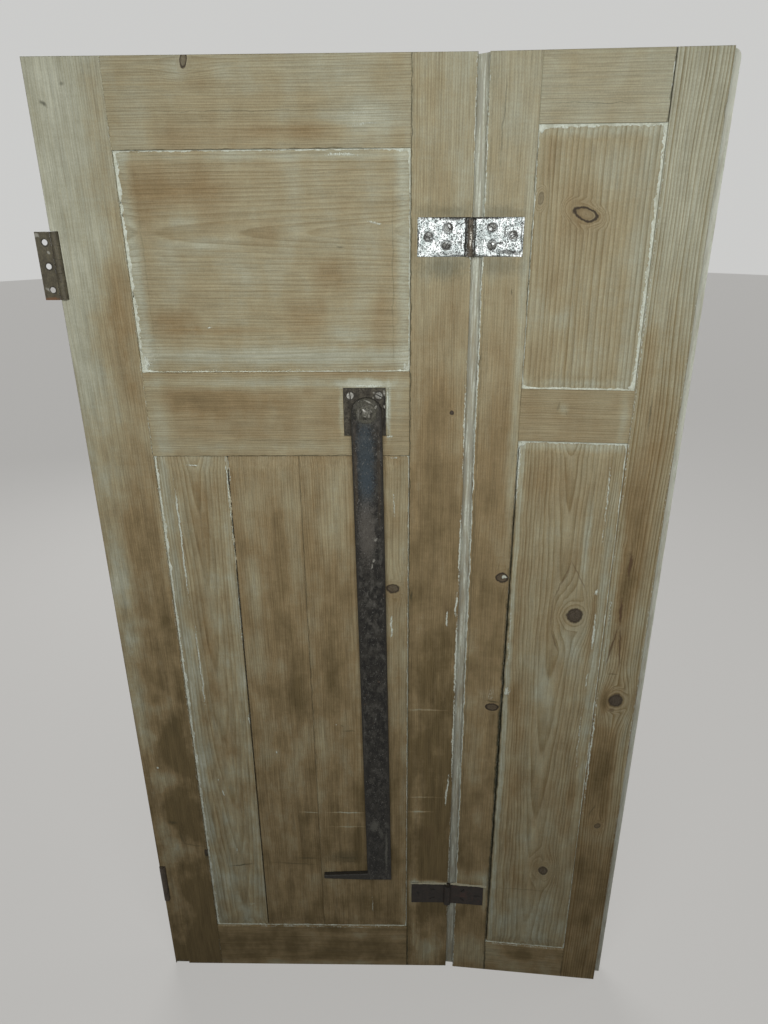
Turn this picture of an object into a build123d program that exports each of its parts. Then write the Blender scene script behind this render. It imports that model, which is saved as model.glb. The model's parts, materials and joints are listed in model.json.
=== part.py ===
from build123d import *
import math
import os

# A folding window shutter: a wide panelled leaf with a narrow flap hinged to it.
# X runs across the room face, Y into the thickness and Z up, in millimetres.
# Every piece is set out from the main leaf's left arris, its room face and its foot,
# with the flap shut flat. The flap and the bar are then turned as they hang.

# Stuff and joinery shared by both leaves
leaf_height = 1168.0
leaf_thickness = 28.0
groove_from_face = 9.0
groove_width = 8.0
groove_depth = 10.0
haunch_height = 20.0
wedge_length = 38.0
wedge_rise = 3.5
stopped_tenon_cover = 8.0
arris_ease = 0.5

# Panels, fielded so low that they lie almost flush with the frame
field_below_face = 0.8
panel_edge_below_face = 3.0
field_margin = 17.0
field_line_radius = 40.0
panel_end_gap = 0.5
panel_swelling_gap = 1.0
panel_groove_ease = 0.3

# Main leaf
main_width = 400.0
hanging_stile_width = 69.5
flap_side_stile_width = 58.0
main_top_rail_height = 75.0
main_upper_opening = 205.0
main_middle_rail_height = 90.0
main_bottom_rail_height = 80.0

# Boards of the main leaf's lower panel, across the face
open_joint_top = 147.7
open_joint_foot = 143.6
open_joint_gap = 1.8
tight_joint = 224.0
tight_joint_gap = 0.3

# Flap
flap_hinge_stile_width = 45.4
flap_panel_width = 111.6
flap_closing_stile_width = 46.8
flap_top_rail_height = 57.0
flap_upper_opening = 240.0
flap_middle_rail_height = 55.0
flap_bottom_rail_height = 56.0
flap_open_shoulder = 0.8
flap_ajar = 5.0

# Rebates: the flap's rear lip laps behind the main leaf, and a like lip meets the next leaf
centre_lip = 10.0
centre_lap = 8.0
centre_rebate_depth = 7.0
meeting_lip = 9.5
meeting_rebate_depth = 14.0
lap_clearance = 0.5

# Running fits shared by all the ironwork
running_clearance = 0.05
knuckle_end_gap = 0.2
knuckle_side_gap = 0.3
housing_clearance = 0.25

# Butt hinges on the hanging stile
butt_length = 63.0
butt_reach = 18.0
butt_thickness = 2.0
butt_leaf_gap = 0.5
butt_knuckle_radius = 4.0
butt_pin_radius = 1.7
butt_knuckles = 5
butt_axis_in = 3.75
butt_hole_radius = 2.75
butt_hole_out = 9.5
butt_hole_spacing = 22.0
butt_hole_dish = 1.2
butt_screw_length = 24.0
upper_butt_below_rail = 69.0
lower_butt_above_rail = 54.0

# Backflap hinges across the joint between the leaves
backflap_length = 35.0
backflap_reach = 49.5
backflap_thickness = 2.4
backflap_knuckle_radius = 4.4
backflap_pin_radius = 1.9
backflap_knuckles = 5
backflap_proud = 0.4
backflap_axis_proud = 1.0
backflap_axis_in = 1.7
backflap_screw_length = 18.0
upper_backflap_below_rail = 59.0
lower_backflap_above_rail = 52.0
lower_housing_overcut = 3.0

# Countersunk screws
hinge_screw_radius = 4.2
plate_screw_radius = 3.6
screw_head_depth = 1.6
screw_shank_share = 0.53
screw_point = 4.0
slot_width = 1.1
slot_depth = 0.9

# Locking bar, its back plate and its pivot
bar_width = 32.5
bar_thickness = 6.0
bar_length_below_pivot = 664.0
bar_edge_ease = 0.7
bar_hang_angle = 0.6
tongue_length = 59.5
tongue_root = 11.0
tongue_tip = 6.0
pivot_from_stile = 44.5
pivot_above_lower_panel = 48.0
pivot_radius = 4.0
rivet_head_radius = 7.5
rivet_head_height = 2.8
rivet_tail_radius = 5.5
plate_width = 43.5
plate_height = 51.0
plate_thickness = 3.0
plate_proud = 0.2
plate_left_of_pivot = 23.5
plate_above_pivot = 25.5
plate_screw_inset = 7.0
plate_screws_below_top = 8.0
plate_screw_length = 20.0
plate_housing_overcut = 3.2
bar_side_gap = 0.3

# Wear: a broken foot corner, a broken lip end, a rounded lip corner and two dents
foot_chip_width = 19.0
foot_chip_height = 8.0
foot_chip_depth = 2.6
lip_end_break = 2.5
lip_corner_radius = 7.5
dent_radius = 16.0
dent_bite = 1.6
dents_below_top = (48.0, 318.0)

# Places worked out from the sizes above
beyond = 5.0
groove_back = groove_from_face + groove_width
main_panel_left = hanging_stile_width
main_panel_right = main_width - flap_side_stile_width
flap_lip_left = main_width - centre_lap
flap_face_left = main_width + centre_lip
flap_panel_left = flap_face_left + flap_hinge_stile_width
flap_panel_right = flap_panel_left + flap_panel_width
flap_face_right = flap_panel_right + flap_closing_stile_width
flap_lip_right = flap_face_right + meeting_lip
main_lap_edge = flap_lip_left - lap_clearance
main_upper_top = leaf_height - main_top_rail_height
main_upper_foot = main_upper_top - main_upper_opening
main_lower_top = main_upper_foot - main_middle_rail_height
flap_upper_top = leaf_height - flap_top_rail_height
flap_upper_foot = flap_upper_top - flap_upper_opening
flap_lower_top = flap_upper_foot - flap_middle_rail_height
pivot_across = main_panel_right - pivot_from_stile
pivot_height = main_lower_top + pivot_above_lower_panel
butt_plate_face = butt_axis_in + butt_leaf_gap / 2
butt_housing_depth = butt_plate_face + butt_thickness
upper_butt_foot = main_upper_top - upper_butt_below_rail - butt_length
lower_butt_foot = main_bottom_rail_height + lower_butt_above_rail
backflap_axis_x = main_width - backflap_axis_in
upper_backflap_foot = main_upper_top - upper_backflap_below_rail - backflap_length
lower_backflap_foot = main_bottom_rail_height + lower_backflap_above_rail
bar_back = plate_proud + bar_side_gap
bar_front = bar_back + bar_thickness


def block(x0, x1, y0, y1, z0, z1):
    """A straight piece of stuff between two opposite corners."""
    middle = Pos((x0 + x1) / 2, (y0 + y1) / 2, (z0 + z1) / 2)
    return middle * Box(x1 - x0, y1 - y0, z1 - z0)


def prism(points, y0, y1):
    """An outline drawn on the face as (x, z) points, carried from depth y0 to y1."""
    drawing = Plane(origin=(0, y1, 0), x_dir=(1, 0, 0), z_dir=(0, -1, 0))
    outline = drawing * make_face(Polyline(*points, close=True))
    return extrude(outline, y1 - y0)


def rod(radius, z0, z1):
    """A round rod standing on the Z axis."""
    return Pos(0, 0, (z0 + z1) / 2) * Cylinder(radius, z1 - z0)


# Framing


def eased(piece):
    """Takes the sharpness off the arrises round a piece's face and its back."""
    by_depth = piece.faces().sort_by(Axis.Y)
    return chamfer(by_depth[0].edges() + by_depth[-1].edges(), arris_ease)


def tenon_span(low, high, place):
    """Lowest and highest edge of a rail's tenon, clear of its grooves and its haunch."""
    low_set = haunch_height if place == "foot" else groove_depth
    high_set = haunch_height if place == "top" else groove_depth
    return low + low_set, high - high_set


def wedges_at(edge, inward, low, high):
    """The two wedges driven beside a tenon's end, at the leaf's edge."""
    inner = edge + inward * wedge_length
    lower = [(edge, low - wedge_rise), (edge, low), (inner, low)]
    upper = [(edge, high + wedge_rise), (edge, high), (inner, high)]
    return [prism(points, groove_from_face, groove_back) for points in (lower, upper)]


def rail(left, right, low, high, left_end, right_end, place):
    """A rail with its panel grooves, its haunches and a tenon reaching each given end."""
    tenon_low, tenon_high = tenon_span(low, high, place)
    stub_low = low if place == "foot" else low + groove_depth
    stub_high = high if place == "top" else high - groove_depth
    piece = eased(block(left, right, 0, leaf_thickness, low, high))
    if place != "foot":
        piece -= block(left, right, groove_from_face, groove_back, low, stub_low)
    if place != "top":
        piece -= block(left, right, groove_from_face, groove_back, stub_high, high)
    haunch_left = left - groove_depth
    haunch_right = right + groove_depth
    piece += block(haunch_left, haunch_right, groove_from_face, groove_back, stub_low, stub_high)
    piece += block(left_end, right_end, groove_from_face, groove_back, tenon_low, tenon_high)
    return piece


def stile(left, right, grooved_edge, tenon_end, rails, wedged, rebate):
    """A rebated stile, ploughed for the panels and mortised to where each tenon ends."""
    inward = 1 if tenon_end < grooved_edge else -1
    groove_floor = grooved_edge - inward * groove_depth
    groove_span = sorted((grooved_edge, groove_floor))
    mortise_span = sorted((grooved_edge, tenon_end))
    piece = block(left, right, 0, leaf_thickness, 0, leaf_height)
    if rebate:
        piece -= rebate
    piece = eased(piece)
    piece -= block(*groove_span, groove_from_face, groove_back, 0, leaf_height)
    for low, high, place in rails:
        tenon_low, tenon_high = tenon_span(low, high, place)
        piece -= block(*mortise_span, groove_from_face, groove_back, tenon_low, tenon_high)
        if wedged:
            for wedge in wedges_at(tenon_end, inward, tenon_low, tenon_high):
                piece -= wedge
    return piece


def fielded_panel(left, right, low, high, left_gap, right_gap):
    """A panel tongued into the grooves, its raised part eased down to a low edge all round."""
    tongue_reach = groove_depth - panel_swelling_gap
    tongue_back = groove_back - panel_groove_ease
    tongue = block(
        left - tongue_reach, right + tongue_reach, groove_from_face, tongue_back,
        low - tongue_reach, high + tongue_reach)
    raised = block(
        left + left_gap, right - right_gap, field_below_face, groove_from_face,
        low + panel_end_gap, high - panel_end_gap)
    face = raised.faces().sort_by(Axis.Y)[0]
    edge_drop = panel_edge_below_face - field_below_face
    raised = chamfer(face.edges(), field_margin, edge_drop, reference=face)
    field_line = raised.faces().sort_by(Axis.Y)[0].edges()
    return tongue + fillet(field_line, field_line_radius)


# Ironwork


def screw_blank(head_radius, length):
    """A countersunk screw's outside, head uppermost at the origin and point downwards."""
    shank_radius = screw_shank_share * head_radius
    profile = Polyline(
        (0, 0), (head_radius, 0), (shank_radius, -screw_head_depth),
        (shank_radius, screw_point - length), (0, -length), close=True)
    return revolve(Plane.XZ * make_face(profile), Axis.Z)


def driven(shape, place, outward, turn):
    """Sets a screw at a place with its head facing outward and its slot turned."""
    return Plane(origin=place, z_dir=outward) * Rot(0, 0, turn) * shape


def slotted(blank):
    """Saws the driver slot across a screw's head."""
    across = 3 * hinge_screw_radius
    return blank - Pos(0, 0, -slot_depth / 2) * Box(across, slot_width, slot_depth)


def knuckled_leaf(plate, length, knuckles, first, knuckle_radius, bore_radius):
    """Rolls every other knuckle on a plate and cuts it clear of its partner's."""
    pitch = length / knuckles
    leaf = plate
    for number in range(knuckles):
        low = number * pitch
        high = low + pitch
        if number % 2 == first:
            leaf += rod(knuckle_radius, low + knuckle_end_gap / 2, high - knuckle_end_gap / 2)
        else:
            cut = rod(
                knuckle_radius + knuckle_side_gap,
                low - knuckle_end_gap / 2, high + knuckle_end_gap / 2)
            leaf -= cut
    return leaf - rod(bore_radius, -beyond, length + beyond)


def butt_holes():
    """Heights of a butt's three screw holes above its foot."""
    middle = butt_length / 2
    return [middle - butt_hole_spacing, middle, middle + butt_hole_spacing]


def butt_leaf(side, first, bore_radius):
    """One leaf of a butt about its pin, standing back from the knuckle on the given side."""
    face = side * butt_leaf_gap / 2
    back = side * (butt_leaf_gap / 2 + butt_thickness)
    plate = block(min(face, back), max(face, back), 0, butt_reach, 0, butt_length)
    return knuckled_leaf(
        plate, butt_length, butt_knuckles, first, butt_knuckle_radius, bore_radius)


def loose_butt_leaf():
    """The leaf that is screwed to the window's lining, drilled and slightly dished."""
    leaf = butt_leaf(-1, 1, butt_pin_radius + running_clearance)
    for height in butt_holes():
        place = (-butt_leaf_gap / 2, butt_hole_out, height)
        through = Cylinder(butt_hole_radius, 4 * butt_thickness)
        dish = Pos(0, 0, -butt_hole_dish / 2) * Cone(
            butt_hole_radius, butt_hole_radius + butt_hole_dish, butt_hole_dish)
        leaf -= Plane(origin=place, z_dir=(1, 0, 0)) * (through + dish)
    return leaf


def butt_screw_places(foot):
    """Where a fixed leaf's screw heads lie, on the main leaf."""
    return [(butt_plate_face, butt_hole_out, foot + height) for height in butt_holes()]


def butt(foot, slot_turns):
    """A butt let into the hanging stile: fixed leaf, closed loose leaf, pin and screws."""
    centre = Pos(butt_axis_in, 0, foot)
    fixed = centre * butt_leaf(1, 0, butt_pin_radius)
    loose = centre * loose_butt_leaf()
    pin = centre * rod(butt_pin_radius, 0, butt_length)
    blank = screw_blank(hinge_screw_radius, butt_screw_length)
    places = butt_screw_places(foot)
    blanks = [driven(blank, place, (-1, 0, 0), 0) for place in places]
    screws = [
        driven(slotted(blank), place, (-1, 0, 0), turn)
        for place, turn in zip(places, slot_turns)]
    for solid in blanks:
        fixed -= solid
    return fixed, loose, pin, screws, blanks


def butt_housing(foot):
    """The wood cut from the stile's edge for a butt and for its knuckle at the arris."""
    low = foot - housing_clearance
    high = foot + butt_length + housing_clearance
    leaf_back = butt_reach + housing_clearance
    knuckle_room = butt_knuckle_radius + knuckle_side_gap
    pocket = block(-beyond, butt_housing_depth, -beyond, leaf_back, low, high)
    notch = block(-beyond, butt_axis_in + knuckle_room, -beyond, knuckle_room, low, high)
    return pocket + notch


def backflap_plate(side, first, bore_radius):
    """One leaf of a backflap about its pin, reaching left (-1) or right (+1)."""
    front = backflap_axis_proud - backflap_proud
    tip = side * backflap_reach
    plate = block(
        min(0, tip), max(0, tip), front, front + backflap_thickness, 0, backflap_length)
    return knuckled_leaf(
        plate, backflap_length, backflap_knuckles, first, backflap_knuckle_radius, bore_radius)


def backflap(foot, main_holes, flap_holes, main_turns, flap_turns):
    """A backflap let into both faces. Holes are (out from the pin, above the middle)."""
    centre = Pos(backflap_axis_x, -backflap_axis_proud, foot)
    middle = foot + backflap_length / 2
    main_plate = centre * backflap_plate(-1, 0, backflap_pin_radius)
    flap_plate = centre * backflap_plate(1, 1, backflap_pin_radius + running_clearance)
    pin = centre * rod(backflap_pin_radius, 0, backflap_length)
    blank = screw_blank(hinge_screw_radius, backflap_screw_length)
    sides = []
    for side, holes, turns in ((-1, main_holes, main_turns), (1, flap_holes, flap_turns)):
        places = [
            (backflap_axis_x + side * out, -backflap_proud, middle + up) for out, up in holes]
        blanks = [driven(blank, place, (0, -1, 0), 0) for place in places]
        screws = [
            driven(slotted(blank), place, (0, -1, 0), turn)
            for place, turn in zip(places, turns)]
        sides.append((screws, blanks))
    for solid in sides[0][1]:
        main_plate -= solid
    for solid in sides[1][1]:
        flap_plate -= solid
    return main_plate, flap_plate, pin, sides[0], sides[1]


def backflap_housing(foot, overcut):
    """The shallow bed for both plates and the deeper one for the knuckle."""
    low = foot - housing_clearance
    high = foot + backflap_length + housing_clearance + overcut
    bed_depth = backflap_thickness - backflap_proud
    reach = backflap_reach + housing_clearance
    left = backflap_axis_x - reach
    right = backflap_axis_x + reach
    knuckle_room = backflap_knuckle_radius + knuckle_side_gap
    bed = block(left, right, -beyond, bed_depth, low, high)
    hollow = block(
        backflap_axis_x - knuckle_room, backflap_axis_x + knuckle_room,
        -beyond, knuckle_room - backflap_axis_proud, low, high)
    return bed + hollow


def back_plate_blank():
    """The iron plate behind the bar's pivot, before it is drilled."""
    left = pivot_across - plate_left_of_pivot
    top = pivot_height + plate_above_pivot
    return block(
        left, left + plate_width, -plate_proud, plate_thickness - plate_proud,
        top - plate_height, top)


def back_plate_screw_places():
    """The two screws at the plate's top corners."""
    left = pivot_across - plate_left_of_pivot
    height = pivot_height + plate_above_pivot - plate_screws_below_top
    across = [left + plate_screw_inset, left + plate_width - plate_screw_inset]
    return [(x, -plate_proud, height) for x in across]


def back_plate_housing():
    """The plate's bed in the middle rail, cut too wide on the right as the old one is."""
    left = pivot_across - plate_left_of_pivot - housing_clearance
    right = left + plate_width + 2 * housing_clearance + plate_housing_overcut
    top = pivot_height + plate_above_pivot + housing_clearance
    foot = top - plate_height - 2 * housing_clearance
    return block(left, right, -beyond, plate_thickness - plate_proud, foot, top)


def rivet_on_axis():
    """The pivot rivet, its domed head up at the bar's front and its tail peened in the plate."""
    head_seat = bar_front + bar_side_gap / 2
    crown = head_seat + rivet_head_height
    ball_radius = (rivet_head_radius ** 2 + rivet_head_height ** 2) / (2 * rivet_head_height)
    ball = Pos(0, 0, crown - ball_radius) * Sphere(ball_radius)
    dome = ball & rod(2 * rivet_head_radius, head_seat, crown + beyond)
    shank = rod(pivot_radius, plate_proud, head_seat)
    tail_middle = plate_proud - plate_thickness / 2
    tail = Pos(0, 0, tail_middle) * Cone(rivet_tail_radius, pivot_radius, plate_thickness)
    return dome + shank + tail


def locking_bar_flat():
    """The forged bar hanging straight down, with its rounded head and its side tongue."""
    half = bar_width / 2
    foot = pivot_height - bar_length_below_pivot
    left = pivot_across - half
    tip = left - tongue_length
    tip_foot = foot + (tongue_root - tongue_tip) / 2
    shank = block(left, left + bar_width, -bar_front, -bar_back, foot, pivot_height)
    tongue = prism(
        [(left + half, foot), (left, foot), (tip, tip_foot), (tip, tip_foot + tongue_tip),
         (left, foot + tongue_root), (left + half, foot + tongue_root)],
        -bar_front, -bar_back)
    on_face = Plane(origin=(pivot_across, 0, pivot_height), z_dir=(0, -1, 0))
    head = on_face * Pos(0, 0, (bar_back + bar_front) / 2) * Cylinder(half, bar_thickness)
    bar = shank + tongue + head
    front_edges = bar.faces().sort_by(Axis.Y)[0].outer_wire().edges()
    bar = chamfer(front_edges, bar_edge_ease)
    bore = on_face * Cylinder(pivot_radius + running_clearance, 4 * bar_front)
    return bar - bore


# Main leaf

main_rails = [
    (main_upper_top, leaf_height, "top"),
    (main_lower_top, main_upper_foot, "middle"),
    (0, main_bottom_rail_height, "foot"),
]
main_back_rebate = block(
    main_lap_edge, main_width + beyond, centre_rebate_depth - lap_clearance,
    leaf_thickness + beyond, -beyond, leaf_height + beyond)

# The tenons run right through: to the hanging edge and to the rebate's shoulder
hanging_stile = stile(0, main_panel_left, main_panel_left, 0, main_rails, True, None)
flap_side_stile = stile(
    main_panel_right, main_width, main_panel_right, main_lap_edge, main_rails, True,
    main_back_rebate)
main_rail_pieces = [
    rail(main_panel_left, main_panel_right, low, high, 0, main_lap_edge, place)
    for low, high, place in main_rails]
main_wedges = []
for low, high, place in main_rails:
    tenon_low, tenon_high = tenon_span(low, high, place)
    main_wedges += wedges_at(0, 1, tenon_low, tenon_high)
    main_wedges += wedges_at(main_lap_edge, -1, tenon_low, tenon_high)

# A splinter has come off the face at the foot of the hanging stile
foot_chip = Pos(foot_chip_width / 2 + 1, 0, 0) * extrude(
    Plane.YZ * make_face(Polyline(
        (-beyond, -beyond), (foot_chip_depth, -beyond), (foot_chip_depth, 0),
        (0, foot_chip_height), (-beyond, foot_chip_height), close=True)),
    foot_chip_width / 2, both=True)
hanging_stile -= foot_chip

main_upper_panel = fielded_panel(
    main_panel_left, main_panel_right, main_upper_foot, main_upper_top, 1.3, 0.6)

# The lower panel was glued up from three boards, and one joint has opened
main_lower_panel = fielded_panel(
    main_panel_left, main_panel_right, main_bottom_rail_height, main_lower_top, 0.8, 0.6)


def joint_across(height):
    """Where the open joint's middle crosses a height, as it leans."""
    share = (height - main_bottom_rail_height) / (main_lower_top - main_bottom_rail_height)
    return open_joint_foot + share * (open_joint_top - open_joint_foot)


def board(left_foot, left_top, right_foot, right_top):
    """The part of the lower panel between two joints, given at its foot and its top."""
    foot = -beyond
    top = leaf_height + beyond
    outline = [(left_foot, foot), (right_foot, foot), (right_top, top), (left_top, top)]
    return main_lower_panel & prism(outline, 0, leaf_thickness)


joint_foot = joint_across(-beyond)
joint_top = joint_across(leaf_height + beyond)
half_gap = open_joint_gap / 2
middle_board_right = tight_joint - tight_joint_gap / 2
right_board_left = tight_joint + tight_joint_gap / 2
left_board = board(0, 0, joint_foot - half_gap, joint_top - half_gap)
middle_board = board(
    joint_foot + half_gap, joint_top + half_gap, middle_board_right, middle_board_right)
right_board = board(right_board_left, right_board_left, main_width, main_width)

# Flap, shut flat

flap_rails = [
    (flap_upper_top, leaf_height, "top"),
    (flap_lower_top, flap_upper_foot, "middle"),
    (0, flap_bottom_rail_height, "foot"),
]
centre_rebate = block(
    flap_lip_left - beyond, flap_face_left, -beyond, centre_rebate_depth,
    -beyond, leaf_height + beyond)
meeting_rebate = block(
    flap_face_right, flap_lip_right + beyond, -beyond, meeting_rebate_depth,
    -beyond, leaf_height + beyond)

# The closing lip's top corner is worn round
round_across = flap_lip_right - lip_corner_radius
round_height = leaf_height - lip_corner_radius
worn_corner = block(
    round_across, flap_lip_right + beyond, -beyond, leaf_thickness + beyond,
    round_height, leaf_height + beyond)
worn_corner -= Pos(round_across, leaf_thickness / 2, round_height) * Rot(90, 0, 0) * Cylinder(
    lip_corner_radius, 2 * leaf_thickness)
meeting_rebate += worn_corner

# The flap's tenons stop inside its stiles, so that the rebates don't cut into them
flap_tenon_left = flap_face_left + stopped_tenon_cover
flap_tenon_right = flap_face_right - stopped_tenon_cover
flap_hinge_stile = stile(
    flap_lip_left, flap_panel_left, flap_panel_left, flap_tenon_left, flap_rails, False,
    centre_rebate)
flap_closing_stile = stile(
    flap_panel_right, flap_lip_right, flap_panel_right, flap_tenon_right, flap_rails, False,
    meeting_rebate)

# The top rail's right shoulder has drawn a little out of its joint
flap_shoulders = [flap_panel_right - flap_open_shoulder, flap_panel_right, flap_panel_right]
flap_rail_pieces = [
    rail(flap_panel_left, shoulder, low, high, flap_tenon_left, flap_tenon_right, place)
    for shoulder, (low, high, place) in zip(flap_shoulders, flap_rails)]

# The end of the centre lip is broken, and the face's right arris has two dents
flap_hinge_stile -= prism(
    [(flap_lip_left - beyond, leaf_height - lip_end_break),
     (flap_lip_left, leaf_height - lip_end_break),
     (flap_face_left, leaf_height),
     (flap_face_left, leaf_height + beyond), (flap_lip_left - beyond, leaf_height + beyond)],
    centre_rebate_depth, leaf_thickness)
dent_set = (dent_radius - dent_bite) / math.sqrt(2)
for below in dents_below_top:
    dent_place = Pos(flap_face_right + dent_set, -dent_set, leaf_height - below)
    flap_closing_stile -= dent_place * Sphere(dent_radius)

flap_upper_panel = fielded_panel(
    flap_panel_left, flap_panel_right, flap_upper_foot, flap_upper_top, 0.6, 0.6)
flap_lower_panel = fielded_panel(
    flap_panel_left, flap_panel_right, flap_bottom_rail_height, flap_lower_top, 1.8, 0.4)

# Butt hinges

upper_fixed, upper_loose, upper_pin, upper_screws, upper_blanks = butt(
    upper_butt_foot, (15, 70, 125))
lower_fixed, lower_loose, lower_pin, lower_screws, lower_blanks = butt(
    lower_butt_foot, (50, 100, 160))
for foot in (upper_butt_foot, lower_butt_foot):
    hanging_stile -= butt_housing(foot)
for solid in upper_blanks + lower_blanks:
    hanging_stile -= solid

# The upper loose leaf stands open, square to its mate and in line with the face
butt_axis = Axis((butt_axis_in, 0, 0), (0, 0, 1))
upper_loose = upper_loose.rotate(butt_axis, 90)

# Backflap hinges

upper_backflap = backflap(
    upper_backflap_foot,
    [(40.0, 0.5), (20.5, 8.6), (22.5, -8.0)], [(19.8, 8.8), (20.5, -8.0), (40.5, 2.0)],
    (70, 35, 150), (60, 20, 100))
lower_backflap = backflap(
    lower_backflap_foot,
    [(40.0, 0.0), (21.0, 8.5), (21.0, -8.5)], [(21.0, 8.5), (21.0, -8.5), (41.0, 0.0)],
    (10, 80, 120), (140, 45, 95))
for foot, overcut in ((upper_backflap_foot, 0), (lower_backflap_foot, lower_housing_overcut)):
    bed = backflap_housing(foot, overcut)
    flap_side_stile -= bed
    flap_hinge_stile -= bed
for hinge in (upper_backflap, lower_backflap):
    for solid in hinge[3][1]:
        flap_side_stile -= solid
    for solid in hinge[4][1]:
        flap_hinge_stile -= solid

# Locking bar

main_middle_rail = main_rail_pieces[1] - back_plate_housing()
plate_blank = screw_blank(plate_screw_radius, plate_screw_length)
plate_places = back_plate_screw_places()
plate_cuts = [driven(plate_blank, place, (0, -1, 0), 0) for place in plate_places]
plate_screws = [
    driven(slotted(plate_blank), place, (0, -1, 0), turn)
    for place, turn in zip(plate_places, (8, 62))]
pivot_rivet = Plane(origin=(pivot_across, 0, pivot_height), z_dir=(0, -1, 0)) * rivet_on_axis()
back_plate = back_plate_blank() - pivot_rivet
for solid in plate_cuts:
    back_plate -= solid
    main_middle_rail -= solid
pivot_axis = Axis((pivot_across, 0, pivot_height), (0, -1, 0))
locking_bar = locking_bar_flat().rotate(pivot_axis, bar_hang_angle)

# The flap stands ajar on its backflaps

flap_axis = Axis((backflap_axis_x, -backflap_axis_proud, 0), (0, 0, 1))


def ajar(shape):
    """Turns a piece of the flap towards the room, as it stands."""
    return shape.rotate(flap_axis, -flap_ajar)


main_nodes = {
    "main_hanging_stile": [hanging_stile],
    "main_flap_side_stile": [flap_side_stile],
    "main_top_rail": [main_rail_pieces[0]],
    "main_middle_rail": [main_middle_rail],
    "main_bottom_rail": [main_rail_pieces[2]],
    "main_upper_panel": [main_upper_panel],
    "main_lower_board_left": [left_board],
    "main_lower_board_middle": [middle_board],
    "main_lower_board_right": [right_board],
    "main_tenon_wedges": main_wedges,
    "upper_butt_fixed_leaf": [upper_fixed],
    "upper_butt_pin": [upper_pin],
    "upper_butt_screws": upper_screws,
    "lower_butt_fixed_leaf": [lower_fixed],
    "lower_butt_pin": [lower_pin],
    "lower_butt_screws": lower_screws,
    "upper_backflap_main_plate": [upper_backflap[0]],
    "upper_backflap_pin": [upper_backflap[2]],
    "upper_backflap_main_screws": upper_backflap[3][0],
    "lower_backflap_main_plate": [lower_backflap[0]],
    "lower_backflap_pin": [lower_backflap[2]],
    "lower_backflap_main_screws": lower_backflap[3][0],
    "bar_back_plate": [back_plate],
    "bar_plate_screws": plate_screws,
    "bar_pivot_rivet": [pivot_rivet],
}
flap_nodes = {
    "flap_hinge_stile": [flap_hinge_stile],
    "flap_closing_stile": [flap_closing_stile],
    "flap_top_rail": [flap_rail_pieces[0]],
    "flap_middle_rail": [flap_rail_pieces[1]],
    "flap_bottom_rail": [flap_rail_pieces[2]],
    "flap_upper_panel": [flap_upper_panel],
    "flap_lower_panel": [flap_lower_panel],
    "upper_backflap_flap_plate": [upper_backflap[1]],
    "upper_backflap_flap_screws": upper_backflap[4][0],
    "lower_backflap_flap_plate": [lower_backflap[1]],
    "lower_backflap_flap_screws": lower_backflap[4][0],
}
loose_nodes = {
    "upper_butt_loose_leaf": [upper_loose],
    "lower_butt_loose_leaf": [lower_loose],
    "locking_bar": [locking_bar],
}
standing_nodes = dict(main_nodes)
standing_nodes.update(loose_nodes)
for name, solids in flap_nodes.items():
    standing_nodes[name] = [ajar(shape) for shape in solids]

# The row's origin is under the middle of the whole, at its foot
everything = Compound(children=[Compound(list(s)) for s in standing_nodes.values()])
extent = everything.bounding_box()
to_origin = Pos(-(extent.min.X + extent.max.X) / 2, -(extent.min.Y + extent.max.Y) / 2, 0)

os.makedirs("parts", exist_ok=True)
for name, solids in standing_nodes.items():
    placed = [to_origin * solid for shape in solids for solid in shape.solids()]
    node = placed[0] if len(placed) == 1 else Compound(children=placed)
    export_step(node, os.path.join("parts", name + ".step"))
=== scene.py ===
import bmesh
import bpy
import json
import math
from mathutils import Matrix, Vector, noise


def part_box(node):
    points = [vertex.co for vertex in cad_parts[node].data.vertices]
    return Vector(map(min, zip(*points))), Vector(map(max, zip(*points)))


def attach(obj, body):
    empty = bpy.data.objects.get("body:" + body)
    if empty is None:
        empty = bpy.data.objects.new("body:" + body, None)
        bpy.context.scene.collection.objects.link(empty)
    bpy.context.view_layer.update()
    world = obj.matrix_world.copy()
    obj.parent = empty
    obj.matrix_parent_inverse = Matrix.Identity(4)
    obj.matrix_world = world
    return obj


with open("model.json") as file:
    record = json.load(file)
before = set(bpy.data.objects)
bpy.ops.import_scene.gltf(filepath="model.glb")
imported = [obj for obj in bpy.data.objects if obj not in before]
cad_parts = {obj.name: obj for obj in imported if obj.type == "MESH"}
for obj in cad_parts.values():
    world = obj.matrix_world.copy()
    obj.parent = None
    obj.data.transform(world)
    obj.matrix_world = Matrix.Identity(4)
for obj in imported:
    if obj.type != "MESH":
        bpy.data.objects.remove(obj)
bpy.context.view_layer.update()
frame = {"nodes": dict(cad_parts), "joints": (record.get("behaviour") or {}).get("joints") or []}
nodes = frame["nodes"]

# The viewpoint: a lens held close before the shutter, at the height of its top rail and
# tipped down, so that the leaves narrow towards the floor.


def stand(name, data):
    """Puts an object of the given data into the scene."""
    thing = bpy.data.objects.new(name, data)
    bpy.context.scene.collection.objects.link(thing)
    return thing


film_width = 36.0
picture_height = 1024.0
lens_in_picture_points = 770.0
eye = (0.02494, -0.77473, 1.0741)
turned_left = math.radians(1.15)
tipped_down = math.radians(23.89)
rolled_right = math.radians(0.49)
view_data = bpy.data.cameras.new("view")
view_data.sensor_width = film_width
view_data.lens = lens_in_picture_points * film_width / picture_height
view = stand("view", view_data)
view.matrix_world = (
    Matrix.Translation(eye)
    @ Matrix.Rotation(turned_left, 4, "Z")
    @ Matrix.Rotation(math.radians(90) - tipped_down, 4, "X")
    @ Matrix.Rotation(-rolled_right, 4, "Z"))
bpy.context.scene.camera = view
bpy.context.scene.view_settings.view_transform = "Standard"

# The studio: pale paper underfoot and all round, a soft lamp just above the lens, and two
# more behind and beside the shutter, so that its back and edges show too.


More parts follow.
